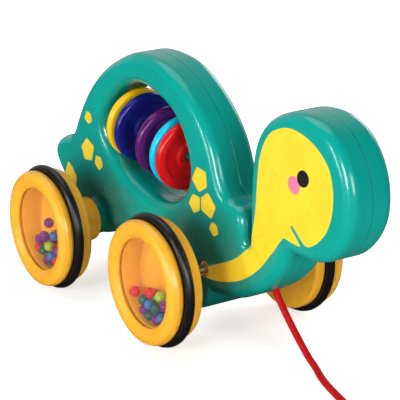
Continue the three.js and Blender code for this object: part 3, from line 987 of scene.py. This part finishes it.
def carve(piece, steps):
    """Applies a list of (operation, solid) in order and removes the solids."""
    for operation, solid in steps:
        boolean = piece.modifiers.new("boolean", "BOOLEAN")
        boolean.operation, boolean.solver, boolean.object = operation, "EXACT", solid
    bpy.context.view_layer.update()
    graph = bpy.context.evaluated_depsgraph_get()
    me = bpy.data.meshes.new_from_object(piece.evaluated_get(graph), depsgraph=graph)
    piece.modifiers.clear()
    piece.data = me
    for _, solid in steps:
        bpy.data.objects.remove(solid)


def tidy(me):
    """Merges the slivers a boolean leaves and closes the pinholes between them."""
    bm = bmesh.new()
    bm.from_mesh(me)
    bmesh.ops.remove_doubles(bm, verts=bm.verts, dist=0.004)
    bmesh.ops.dissolve_degenerate(bm, edges=bm.edges, dist=0.002)
    for _ in range(3):
        wires = [e for e in bm.edges if not e.link_faces]
        bmesh.ops.delete(bm, geom=wires, context="EDGES")
        loose = [v for v in bm.verts if not v.link_edges]
        bmesh.ops.delete(bm, geom=loose, context="VERTS")
        open_edges = [e for e in bm.edges if e.is_boundary]
        if not open_edges:
            break
        bmesh.ops.holes_fill(bm, edges=open_edges, sides=12)
    bm.to_mesh(me)
    bm.free()
    me.update()


def mesh_to_row(me):
    """Takes a finished millimetre mesh to the row frame."""
    me.transform(Matrix.Translation(Vector((REAR_X * MM, 0, 0))) @ Matrix.Scale(MM, 4))


def shade_smooth(me, angle):
    me.polygons.foreach_set("use_smooth", np.ones(len(me.polygons), bool))
    me.set_sharp_from_angle(angle=math.radians(angle))


def finish_piece(piece, body, node, materials, angle=SKIN_ANGLE, weighted=True):
    """Materials, shading and the piece's place in the frame."""
    me = piece.data
    index = np.zeros(len(me.polygons), np.int32)
    me.polygons.foreach_get("material_index", index)
    me.materials.clear()  # this also resets the faces' numbers, so they are put back
    for material in materials:
        me.materials.append(material)
    me.polygons.foreach_set("material_index", index)
    shade_smooth(me, angle)
    if weighted:
        modifier = piece.modifiers.new("weighted", "WEIGHTED_NORMAL")
        modifier.keep_sharp, modifier.weight = True, 60
    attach(piece, body)
    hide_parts(node)


def turned_part(name, profile, around, centre, material, body, slot, node, **how):
    piece = turn(name, profile, around, row_mm(centre), scale=MM, **how)
    finish_piece(piece, body, node, [material])


def rod_point(station):
    return Vector((ROD_AT[0], 0, ROD_AT[1])) + ROD_DIR * station


# ---------------------------------------------------------------- body halves
def offset(poly, distance, step=2.2):
    """A closed line moved to its left, without the parts that fold over."""
    moved = poly + left_normals(poly) * distance
    return walk(moved[edge_distance(moved, poly) > abs(distance) - 0.05], step)


def at_screws(profile, around, sign):
    return merged([turn("cutter", profile, around, (x, 0, z), sign) for x, z in SCREWS])


def bore(reach):
    """Profile of an axle hole, slightly wider at its mouth."""
    return [
        (0, -1), (3.7, -1), (3.7, reach - 0.1), (3.75, reach + 0.05), (3.75, reach + 2),
        (0, reach + 2),
    ]


def body_steps(sign):
    """The solids added to and cut from a body half, in order."""
    rear, front = (0, 0, AXLE_Z), (FRONT_X, 0, AXLE_Z)
    inner_y = sign * (BODY_HALF - WALL)
    keel_line = outline(KEEL, 0.7, 0.5, 1.6)
    cavity = prism([offset(OUTER, WALL), offset(OPENING, -HOLE_WALL)], -sign, inner_y, 1.6)
    bosses = merged([
        turn("cutter", bar(BOSS_R, 1.2, reach, end_round=0.7), 96, centre, sign)
        for centre, reach in ((rear, REAR_BOSS), (front, FRONT_BOSS - 0.6))
    ])
    bores = merged([
        turn("cutter", bore(reach), 64, centre, sign)
        for centre, reach in ((rear, REAR_BOSS), (front, FRONT_BOSS))
    ])
    cord_hole = [(0, -8), (3.4, -8), (3.4, -2.9), (1.95, -0.9), (1.95, 7.0), (0, 7.0)]
    cord_at = (CORD_HOLE_X, 0, 31)
    rod_hole = bar(2.5, ROD_ENDS[0] - 0.4, ROD_ENDS[1] + 0.4)
    steps = [
        ("UNION", prism([keel_line], sign * SPLIT, sign * 11.4, 0.7)),
        ("DIFFERENCE", cavity),
        ("DIFFERENCE", prism([offset(keel_line, WALL, 1.2)], -sign, inner_y, 0.6)),
        ("UNION", bosses),
        ("UNION", at_screws(bar(3.9, 0.3, BODY_HALF - 1), 32, sign)),
        # the web that the cord passes through
        ("UNION", box((124.5, 133.5), (sign * 0.3, sign * 9.2), (31.9, 34.9))),
        ("DIFFERENCE", bores),
        ("DIFFERENCE", turn("cutter", cord_hole, 40, cord_at, axis=(0, 0, 1))),
        ("DIFFERENCE", turn("cutter", rod_hole, 40, rod_point(0), axis=ROD_DIR)),
    ]
    if sign > 0:  # the screws go in from the left
        well = [(0, 6.4), (3.3, 6.4), (3.3, 11.15), (3.75, 11.7), (3.75, 14), (0, 14)]
        steps.append(("DIFFERENCE", at_screws(well, 48, sign)))
        steps.append(("DIFFERENCE", at_screws(bar(1.8, -1, 8), 32, sign)))
    else:
        steps.append(("DIFFERENCE", at_screws(bar(1.7, -1, 8.2), 32, sign)))
    return steps


def read_values(items, name, width, kind=np.float32):
    values = np.zeros(len(items) * width, kind)
    items.foreach_get(name, values)
    return values.reshape(-1, width)


def set_skin_normals(me, sign):
    """Gives the skin and edge walls their exact normals; returns how many corners took them."""
    corner = read_values(me.corner_normals, "vector", 3).astype(float)
    co = read_values(me.vertices, "co", 3).astype(float)
    vertex = read_values(me.loops, "vertex_index", 1, np.int32)[:, 0]
    face = np.array([tuple(p.normal) for p in me.polygons])
    face = np.repeat(face, [p.loop_total for p in me.polygons], axis=0)
    points, y = co[:, [0, 2]], np.abs(co[:, 1])
    half, normal, gap_out, gap_hole, n_out, n_hole = surface(points)
    beyond = (gap_out > 0.03) & ~inside(points, OUTER)
    skin = (np.abs(y - half) < 0.05) & ~beyond
    outer_wall = (gap_out < 0.02) & ~beyond & (y < half + 0.02)
    opening_wall = (gap_hole < 0.02) & (y < half + 0.02)
    exact = np.where(skin[:, None], normal * np.array([1, sign, 1]), 0.0)
    exact = np.where(outer_wall[:, None], upright(-n_out, 0.0), exact)
    exact = np.where(opening_wall[:, None], upright(-n_hole, 0.0), exact)[vertex]
    good = (exact * face).sum(1) > 0.86
    corner[good] = exact[good]
    me.normals_split_custom_set([tuple(n) for n in corner])
    return int(good.sum())


def body_half(side, sign, layout):
    shell = slab("body_shell_" + side, sign, layout)
    for material in (TEAL, YELLOW_INK, BLACK_INK, PINK_INK):
        shell.data.materials.append(material)
    carve(shell, body_steps(sign))
    me = shell.data
    tidy(me)
    shade_smooth(me, SKIN_ANGLE)
    shell["loops_on_skin"] = set_skin_normals(me, sign)
    mesh_to_row(me)
    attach(shell, "body")
    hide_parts("body_half_" + side)


LAYOUT = plan_layout()
for side, sign in SIDES:
    body_half(side, sign, LAYOUT)


# ---------------------------------------------------------------- axles, bushes, screws
def bush(end, side, sign, x):
    reach = (FRONT_BOSS if end == "front" else REAR_BOSS) - 0.2
    profile = [(2.3, 2, 0.2), (3.4, 2, 0.2), (3.4, reach, 0.3), (2.3, reach, 0.3)]
    ident = end + "_" + side
    turned_part(
        "bush_" + ident, profile, 48, (x, 0, AXLE_Z), BUSH,
        "body", "bush_orange", "axle_bush_" + ident, sign=sign,
    )


def screw(i, x, z):
    """Pan-head screw with a cross recess and a coarse thread."""
    profile = [(0, -7.4), (0.5, -7.35), (1.0, -6.9)]
    y = -6.6
    while y < 5.4:
        profile += [(1.15, y), (1.42, y + 0.28), (1.42, y + 0.36), (1.15, y + 0.64)]
        y += 0.95
    profile += [
        (1.2, 6.7), (1.3, 6.9), (2.75, 6.9, 0.12), (2.8, 7.5, 0.5), (2.0, 8.4, 0.7), (0, 8.7),
    ]
    piece = turn("screw_%d" % i, profile, 40, (x, 0, z))
    narrow, wide = (-0.34, 0.34), (-1.35, 1.35)
    turned = Matrix.Rotation(math.radians(17 + 31 * i), 4, "Y")
    cross = []
    for across, over in ((wide, narrow), (narrow, wide)):
        blade = box(across, (0, 2.2), over)
        for v in blade.data.vertices:  # the recess narrows with depth
            if v.co.y < 1:
                v.co.x *= 0.55
                v.co.z *= 0.55
        blade.data.transform(Matrix.Translation(Vector((x, 7.35, z))) @ turned)
        cross.append(("DIFFERENCE", blade))
    carve(piece, cross)
    mesh_to_row(piece.data)
    finish_piece(piece, "body", "body_screw_%d" % i, [ZINC])


for end, x in AXLES:
    turned_part(
        end + "_axle_rod", bar(2.0, -27, 27, 0.6, 0.6), 48, (x, 0, AXLE_Z), AXLE,
        end + "_wheels", "axle_steel", end + "_axle",
    )
    for side, sign in SIDES:
        bush(end, side, sign, x)
for i, (x, z) in enumerate(SCREWS):
    screw(i + 1, x, z)


# ---------------------------------------------------------------- rings on their rod
RING_X = {"yellow": 22.4, "blue": 29.0, "purple": 47.6, "cyan": 59.6, "red": 64.8}
# (radius, along the rod, rounding) from the bore out to the rim; the other half mirrors it
RING_HALF = [
    (2.55, -2.1, 0.25), (5.6, -2.1, 0.5), (7.0, -0.85, 0.9), (11.9, -0.85, 1.2),
    (12.9, -2.0, 0.9), (14.2, -2.34, 1.5), (16.6, -1.75, 1.7), (17.0, -0.12, 0.9),
]
RING = RING_HALF + [(16.93, 0.0)] + [(r, -along, rnd) for r, along, rnd in RING_HALF[::-1]]

turned_part(
    "ring_rod_bar", bar(2.2, *ROD_ENDS, 0.5, 0.5), 48, rod_point(0), TEAL,
    "rod", "body_teal", "ring_rod", axis=ROD_DIR,
)
for colour, x in RING_X.items():
    centre = rod_point((x - ROD_AT[0]) / math.cos(ROD_SLOPE))
    turned_part(
        "rattle_ring_" + colour, RING, 112, centre, RINGS[colour],
        colour + "_ring", "ring_" + colour, "ring_" + colour, axis=ROD_DIR,
    )


# ---------------------------------------------------------------- wheels
# Profiles are (radius, distance out from the middle plane, rounding).
DRUM_R, DRUM_FLOOR = 19.9, 31.8  # the space for the beads
WINDOW_BACK = 41.95
HUBS = {
    "rear": [(2.3, REAR_HUB, 0.3), (10.2, REAR_HUB, 1.1), (11.2, 20.0, 3.0), (12.6, 28.9, 1.2)],
    "front": [(2.3, FRONT_HUB, 0.2), (5.8, FRONT_HUB, 0.7), (9.2, 22.4, 1.6), (12.6, 28.9, 1.2)],
}
BORE_END = [(0, 27.4), (2.3, 27.4, 0.2)]
CUP = [
    (22.8, 29.5, 1.0), (26.6, 30.0, 0.9), (27.3, 31.4, 0.7), (27.2, 34.7, 0.5), (24.2, 35.2, 0.3),
    (23.5, 35.5, 0.2), (23.5, 36.45, 0.2), (21.4, 36.45, 0.2), (21.4, 41.6, 0.2),
    (DRUM_R, 41.6, 0.2), (DRUM_R, DRUM_FLOOR, 1.2), (0, DRUM_FLOOR),
]
FRONT = [
    (21.8, 36.75, 0.15), (23.5, 36.75, 0.15), (23.6, 38.9, 0.4), (26.6, 39.7, 0.6),
    (27.75, 41.2, 0.8), (27.95, 42.8, 0.9), (27.1, 44.9, 1.3), (24.6, 46.0, 1.8),
    (22.0, 45.6, 1.6), (20.2, 44.2, 0.9), (19.8, 43.25, 0.25), (21.8, 43.2, 0.1),
]
WINDOW = bar(21.25, WINDOW_BACK, 42.95, 0.2, 0.2)
TYRE_PROFILE = [
    (23.75, 35.9, 0.1), (24.6, 35.5, 0.2), (26.4, 35.2, 0.4), (28.2, 35.2, 0.6), (29.5, 35.8, 0.8),
    (30.0, 37.1, 1.8), (29.6, 38.6, 1.0), (28.3, 39.5, 0.8), (26.4, 39.3, 0.5), (24.6, 38.75, 0.3),
    (23.75, 38.1, 0.2),
]
BEAD_R = 2.45
# x, z and y out from the wheel's centre line and the middle plane, and the bead's colour number
PILES = {
    "front_right": [
        (-1.7, -5.9, 38.8, 0), (3.6, -6.6, 37.0, 2), (-7.6, -9.0, 34.6, 0), (-6.8, -10.6, 39.2, 3),
        (-1.6, -11.2, 39.4, 4), (3.4, -12.2, 38.9, 3), (-2.2, -16.6, 39.0, 3),
        (2.9, -16.9, 38.2, 1), (-7.2, -15.6, 38.4, 1), (7.6, -15.0, 38.8, 4), (8.0, -9.8, 37.4, 1),
        (-14.2, -9.0, 38.9, 0), (-2.6, -10.4, 34.5, 2), (2.6, -12.2, 34.4, 1),
        (-4.6, -16.0, 34.4, 0), (0.6, -17.0, 34.4, 4), (6.4, -15.8, 34.4, 2),
    ],
    "rear_right": [
        (0.8, 2.2, 38.4, 1), (3.6, -3.8, 37.2, 4), (-4.0, -5.4, 38.8, 1), (1.6, -9.2, 39.2, 2),
        (-9.4, -8.6, 38.2, 1), (-4.6, -12.8, 39.0, 3), (-10.4, -13.4, 37.8, 0),
        (2.9, -14.0, 38.8, 4), (-1.6, -17.0, 38.6, 1), (7.2, -11.0, 37.4, 1),
        (8.4, -15.0, 38.6, 0), (-12.6, -9.4, 34.6, 3), (-7.4, -15.4, 34.8, 2),
        (-1.6, -12.2, 34.4, 0), (3.4, -16.2, 34.4, 3), (0.2, -4.6, 34.4, 0), (-5.6, -9.4, 34.4, 1),
        (4.4, -10.2, 34.4, 0),
    ],
}
draw = random.Random(11)
for key in ("front_left", "rear_left"):
    PILES[key] = [
        (draw.uniform(-11, 11), draw.uniform(-16.5, -5), draw.uniform(34.4, 39.4), k % 5)
        for k in range(16)
    ]


def settle(pile):
    """Pushes overlapping beads apart and keeps them inside the drum."""
    p = np.array([bead[:3] for bead in pile], float)
    apart = 2 * BEAD_R + 0.06
    farthest = DRUM_R - BEAD_R - 0.12
    nearest_y, farthest_y = DRUM_FLOOR + BEAD_R + 0.1, WINDOW_BACK - BEAD_R - 0.1
    for _ in range(400):
        for i in range(len(p)):
            for j in range(i):
                gap = p[i] - p[j]
                distance = np.linalg.norm(gap)
                if distance < apart:
                    push = gap / max(distance, 1e-6) * (apart - distance) * 0.5
                    p[i] += push
                    p[j] -= push
        r = np.hypot(p[:, 0], p[:, 1])
        over = r > farthest
        p[over, :2] *= (farthest / r[over])[:, None]
        p[:, 2] = np.clip(p[:, 2], nearest_y, farthest_y)
    return p


def bead_profile():
    """Unit profile of a slightly flattened ball with a parting ridge and a gate mark."""
    profile = [(0.0, -0.955)]
    for k in range(1, 16):
        t = -math.pi / 2 + math.pi * k / 16
        if k == 8:
            profile += [(0.994, -0.02), (1.006, 0.0), (0.994, 0.02)]
        else:
            profile.append((math.cos(t), math.sin(t) * 0.985))
    return profile + [(0.05, 0.975), (0.0, 0.955)]


def add_bead(bm, centre, colour, r, seed):
    """A bead about a random axis."""
    draw = random.Random(seed)
    axis = Vector((draw.gauss(0, 1), draw.gauss(0, 1), draw.gauss(0, 1))).normalized()
    across = axis.orthogonal().normalized()
    over = axis.cross(across)
    angles = [2 * math.pi * i / 28 for i in range(28)]
    rows = []
    for radius, along in bead_profile():
        middle = centre + axis * (along * r)
        if radius == 0:
            rows.append([bm.verts.new(middle)])
            continue
        spokes = [(across * math.cos(t) + over * math.sin(t)) * (radius * r) for t in angles]
        rows.append([bm.verts.new(middle + spoke) for spoke in spokes])
    for corners in bands(rows):
        face = bm.faces.new(corners)
        face.material_index = colour
        face.smooth = True


def bead_pile(ident, sign, centre):
    bm = bmesh.new()
    pile = PILES[ident]
    for k, ((x, z, y), bead) in enumerate(zip(settle(pile), pile)):
        at = Vector(((centre[0] + x) * MM, sign * y * MM, (centre[2] + z) * MM))
        add_bead(bm, at, bead[3], BEAD_R * MM, seed=100 + k)
    me = bpy.data.meshes.new("beads")
    bm.normal_update()
    if bm.calc_volume(signed=True) < 0:
        bmesh.ops.reverse_faces(bm, faces=bm.faces)
    bm.to_mesh(me)
    bm.free()
    finish_piece(
        new_object("rattle_beads_" + ident, me), "beads_" + ident,
        "bead_pile_" + ident, list(BEADS.values()), angle=80, weighted=False,
    )


def wheel(end, side, sign, x):
    ident = end + "_" + side
    centre = (x, 0, AXLE_Z)
    # object, profile, points around, corner steps, material, slot, node
    parts = [
        ("wheel_cup_", BORE_END + HUBS[end] + CUP, 128, 5, ORANGE, "wheel_orange", "wheel_back_"),
        ("wheel_rim_", FRONT, 128, 5, ORANGE, "wheel_orange", "wheel_front_"),
        ("wheel_pane_", WINDOW, 128, 5, CLEAR, "window_clear", "wheel_window_"),
        ("wheel_tyre_", TYRE_PROFILE, 144, 6, TYRE, "tyre_black", "tyre_"),
    ]
    for name, profile, around, steps, material, slot, node in parts:
        turned_part(
            name + ident, profile, around, centre, material,
            end + "_wheels", slot, node + ident, sign=sign, steps=steps,
        )
    bead_pile(ident, sign, row_mm(centre))


for end, x in AXLES:
    for side, sign in SIDES:
        wheel(end, side, sign, x)


# ---------------------------------------------------------------- pull cord
# x, y, z of the centre line, from inside the body down to the ground and forwards
CORD = [
    (CORD_HOLE_X, 0, 36.5), (CORD_HOLE_X, 0, 33.5), (131.3, 0, 31), (131.75, 0, 27.9),
    (134.3, 0, 24.5), (138.2, 0, 20.2), (142.6, 0, 15.8), (147, 0, 11.7), (151.2, 0, 8),
    (155.2, 0, 4.8), (160, -0.4, 2.4), (166, -2.8, 1.75), (173, -5.6, 1.75), (182, -8.5, 1.75),
    (194, -11.8, 1.75), (212, -16, 1.75), (236, -19.5, 1.75), (262, -19, 1.75),
    (288, -14.5, 1.75), (310, -10.2, 1.75), (328, -8.6, 1.75), (330.5, -8.4, 2.2),
]
CORD_CORE = 1.55 - 0.12  # radius under the braid's relief
CORD_AROUND = 40
BRAID_TWIST = 1.55  # radians of strand phase per mm
BRAID_LAY = 2 * math.pi / BRAID_TWIST
# piece, the bodies it blends between, where the blend starts and ends, CAD node
CORD_BLENDS = [
    ("cord_exit", "body", "cord_1", (131.4, 0, 30.2), (133.2, 0, 25.6), "cord_length_1"),
    ("cord_drop", "cord_1", "cord_2", (160, 0, 1.75), (172, -5, 1.75), "cord_length_2"),
    ("cord_run", "cord_2", "cord_3", (205, -14.5, 1.75), (219, -17.2, 1.75), "cord_length_3"),
    ("cord_tail", "cord_3", "cord_4", (254, -19.3, 1.75), (270, -18.2, 1.75), "cord_length_4"),
]
KNOT_CORE = 1.30 - 0.10
KNOT_SQUASH = 0.86


def braid(theta, s):
    """Height of the braided surface: strands crossing over and under each other."""
    a = 4 * theta + s * BRAID_TWIST
    b = 4 * theta - s * BRAID_TWIST
    over = np.cos(a) * np.cos(b)
    ridge = np.maximum(np.abs(np.sin(a + 0.6)), np.abs(np.sin(b - 0.6)))
    return 0.10 * np.abs(over) ** 0.7 + 0.035 * ridge


def braided_rings(line, across, over, core, along, around):
    theta = np.arange(around) * 2 * math.pi / around
    rings = []
    for centre, u, v, s in zip(line, across, over, along):
        r = core + braid(theta, s)
        rings.append(centre + u * (r * np.cos(theta))[:, None] + v * (r * np.sin(theta))[:, None])
    return rings


def cord_frames(line):
    """Two directions across the centre line at each point, without twist."""
    tangent = np.gradient(line, axis=0)
    tangent /= np.linalg.norm(tangent, axis=1)[:, None]
    across = np.zeros_like(tangent)
    carried = np.array([0.0, 1.0, 0.0])
    for i in range(len(tangent)):
        carried = carried - tangent[i] * (carried @ tangent[i])
        carried /= np.linalg.norm(carried)
        across[i] = carried
    return across, np.cross(tangent, across)


CORD_LINE = walk(catmull(CORD, 24, closed=False), 0.32, closed=False)
CORD_S = lengths(CORD_LINE)
CORD_ACROSS, CORD_OVER = cord_frames(CORD_LINE)


def cord_piece(name, start, end):
    """The cord between two lengths, closed at both ends."""
    k = np.where((CORD_S >= start - 1e-6) & (CORD_S <= end + 1e-6))[0]
    line = CORD_LINE[k]
    rings = braided_rings(
        line, CORD_ACROSS[k], CORD_OVER[k], CORD_CORE, CORD_S[k], CORD_AROUND
    )
    rows = numbered_rows(len(k), CORD_AROUND)
    first_pole = len(k) * CORD_AROUND
    faces = bands(rows) + bands([[first_pole], rows[0]]) + bands([rows[-1], [first_pole + 1]])
    verts = (np.vstack(rings + [line[[0, -1]]]) + np.array([REAR_X, 0, 0])) * MM
    piece = mesh_object(name, verts, faces)
    piece.data.materials.append(CORD_RED)
    shade_smooth(piece.data, 60)
    return piece


def length_at(x, z=None):
    """Length along the cord nearest to x, or to x and z."""
    d = np.abs(CORD_LINE[:, 0] - x)
    if z is not None:
        d = np.hypot(CORD_LINE[:, 0] - x, CORD_LINE[:, 2] - z)
    return CORD_S[int(d.argmin())]


def knot(name, centre, radius, body, node):
    """An overhand knot: the cord wound through a trefoil, drawn tight."""
    n, around = 260, 24
    t = np.arange(n) * 2 * math.pi / n
    line = np.stack([
        np.sin(t) + 1.55 * np.sin(2 * t), np.cos(t) - 1.55 * np.cos(2 * t), -1.15 * np.sin(3 * t)
    ], 1)
    line *= (radius - 1.30) / np.abs(line).max() * 1.02
    tangent = np.roll(line, -1, 0) - np.roll(line, 1, 0)
    tangent /= np.linalg.norm(tangent, axis=1)[:, None]
    out = line / np.maximum(np.linalg.norm(line, axis=1), 1e-6)[:, None]
    across = out - tangent * (out * tangent).sum(1)[:, None]
    across /= np.linalg.norm(across, axis=1)[:, None]
    along = lengths(line)
    along = along * BRAID_LAY * round(along[-1] / BRAID_LAY) / along[-1]  # whole lays
    over = np.cross(tangent, across)
    verts = np.vstack(braided_rings(line, across, over, KNOT_CORE, along, around))
    verts[:, 2] *= KNOT_SQUASH
    verts = (verts + np.array(centre) + np.array([REAR_X, 0, 0])) * MM
    piece = mesh_object(name, verts, bands(numbered_rows(n, around), closed=True))
    finish_piece(piece, body, node, [CORD_RED], angle=70, weighted=False)


CUTS = [0.0, length_at(147.0, 11.7), length_at(188.0), length_at(236.0), length_at(295.0)]
for i, (name, near, far, start, end, node) in enumerate(CORD_BLENDS):
    piece = cord_piece(name, CUTS[i], CUTS[i + 1])
    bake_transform(piece)
    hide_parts(node)
tip = cord_piece("cord_tip", CUTS[-1], CORD_S[-1])
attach(tip, "cord_4")
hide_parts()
knot("cord_knot_inside", (CORD_HOLE_X, 0, 38.2), 3.3, "body", "cord_stopper_knot")
knot("cord_knot_end", (332.3, -8.4, 3.3), 3.5, "cord_4", "cord_end_knot")


# ---------------------------------------------------------------- stage, light, camera
def floor_material():
    """Pale floor, dark in reflections, glowing towards white away from the toy."""
    made, s = new_material("floor_pale")
    blotch = s.noise(s.coords(), scale=3.0, detail=2.0)
    pale = s.mix(s.remap(blotch, span=(0.3, 0.7)), (0.88, 0.88, 0.88), (0.92, 0.92, 0.92))
    path = s.add("LightPath").outputs
    position = s.add("NewGeometry").outputs["Position"]
    far = s.add("VectorMath", position, operation="LENGTH").outputs["Value"]
    glow = s.remap(far, span=(0.30, 0.90), to=(0.60, 1.0))
    s.finish({
        "Base Color": s.mix(path["Is Glossy Ray"], pale, (0.07, 0.07, 0.07)),
        "Roughness": 0.6,
        "Specular IOR Level": 0.1,
        "Emission Color": (1, 1, 1),
        "Emission Strength": s.math("MULTIPLY", path["Is Camera Ray"], glow),
    })
    return made


def floor():
    half, below = 6, 0.00005
    bm = bmesh.new()
    for x, y in ((-half, -half), (half, -half), (half, half), (-half, half)):
        bm.verts.new(Vector((x, y, -below)))
    bm.faces.new(bm.verts)
    me = bpy.data.meshes.new("floor")
    bm.to_mesh(me)
    bm.free()
    piece = new_object("floor", me)
    me.materials.append(floor_material())


def studio_world():
    """White to the camera, dimmer as light, and a one-sided backdrop in reflections."""
    world = bpy.data.worlds.new("studio")
    SCENE.world = world
    world.use_nodes = True
    s = Shader(world.node_tree, "Background")
    path = s.add("LightPath").outputs
    seen = s.remap(path["Is Camera Ray"], span=(0, 1), to=(0.17, 1.0))
    ray = s.add("TexCoord").outputs["Generated"]
    backdrop_side = (-0.80, 0.52, 0.10)
    along = s.add("VectorMath", ray, backdrop_side, operation="DOT_PRODUCT").outputs["Value"]
    backdrop = s.remap(along, span=(0.25, 0.95), to=(0.06, 0.66))
    glossy = path["Is Glossy Ray"]
    shine = s.math("MULTIPLY", glossy, backdrop)
    plain = s.math("MULTIPLY", s.math("SUBTRACT", 1.0, glossy), seen)
    s.finish({"Color": (1, 1, 1), "Strength": s.math("ADD", plain, shine)})


def softbox(name, at, size, power):
    """A rectangular light aimed at a point 60 mm above the row frame's origin."""
    light = bpy.data.lights.new(name, "AREA")
    light.shape, light.size, light.size_y = "RECTANGLE", size[0], size[1]
    light.energy = power
    made = new_object(name, light)
    made.location = at
    made.rotation_mode = "QUATERNION"
    aim = Vector((0, 0, 60 * MM))
    made.rotation_quaternion = (aim - Vector(at)).to_track_quat("-Z", "Y")
    made.visible_camera = False
    return made


def lights():
    # The narrow key only draws the glints along the edges; its broad twin lights the surfaces.
    key = softbox("key_softbox", at=(0.46, -0.98, 0.32), size=(0.14, 0.46), power=7.4)
    key.visible_diffuse = False
    fill_key = softbox("key_fill", at=(0.36, -1.00, 0.34), size=(0.26, 0.40), power=5.3)
    fill_key.visible_glossy = False
    softbox("front_strip", at=(-0.26, -1.05, 0.24), size=(0.10, 0.46), power=3.0)
    softbox("top_softbox", at=(-0.42, -0.18, 1.0), size=(0.7, 0.8), power=2.6)
    softbox("side_softbox", at=(1.02, -0.28, 0.32), size=(0.35, 0.45), power=4.6)
    softbox("back_softbox", at=(-0.45, 1.0, 0.55), size=(0.6, 0.5), power=3.0)
    back = softbox("back_fill", at=(-0.30, 1.05, 0.35), size=(0.6, 0.5), power=5.0)
    back.visible_glossy = False


def camera():
    data = bpy.data.cameras.new("camera")
    made = new_object("camera", data)
    yaw, pitch, roll = 0.989, 0.302, -0.020  # radians
    level = math.cos(pitch)
    ahead = Vector((-math.sin(yaw) * level, math.cos(yaw) * level, -math.sin(pitch)))
    right = Vector((math.cos(yaw), math.sin(yaw), 0))
    up = right.cross(ahead)
    rolled_right = right * math.cos(roll) + up * math.sin(roll)
    rolled_up = -right * math.sin(roll) + up * math.cos(roll)
    turned = Matrix((rolled_right, rolled_up, -ahead)).transposed().to_4x4()
    made.rotation_mode = "QUATERNION"
    made.matrix_world = Matrix.Translation(to_row(694.8, -407.4, 286.0)) @ turned
    data.sensor_width = 36
    data.lens = 155.59713
    data.shift_x, data.shift_y = -0.0053, -0.0005
    data.clip_start, data.clip_end = 0.01, 50
    SCENE.camera = made


floor()
studio_world()
lights()
camera()
SCENE.view_settings.view_transform = "Standard"
SCENE.view_settings.look = "None"
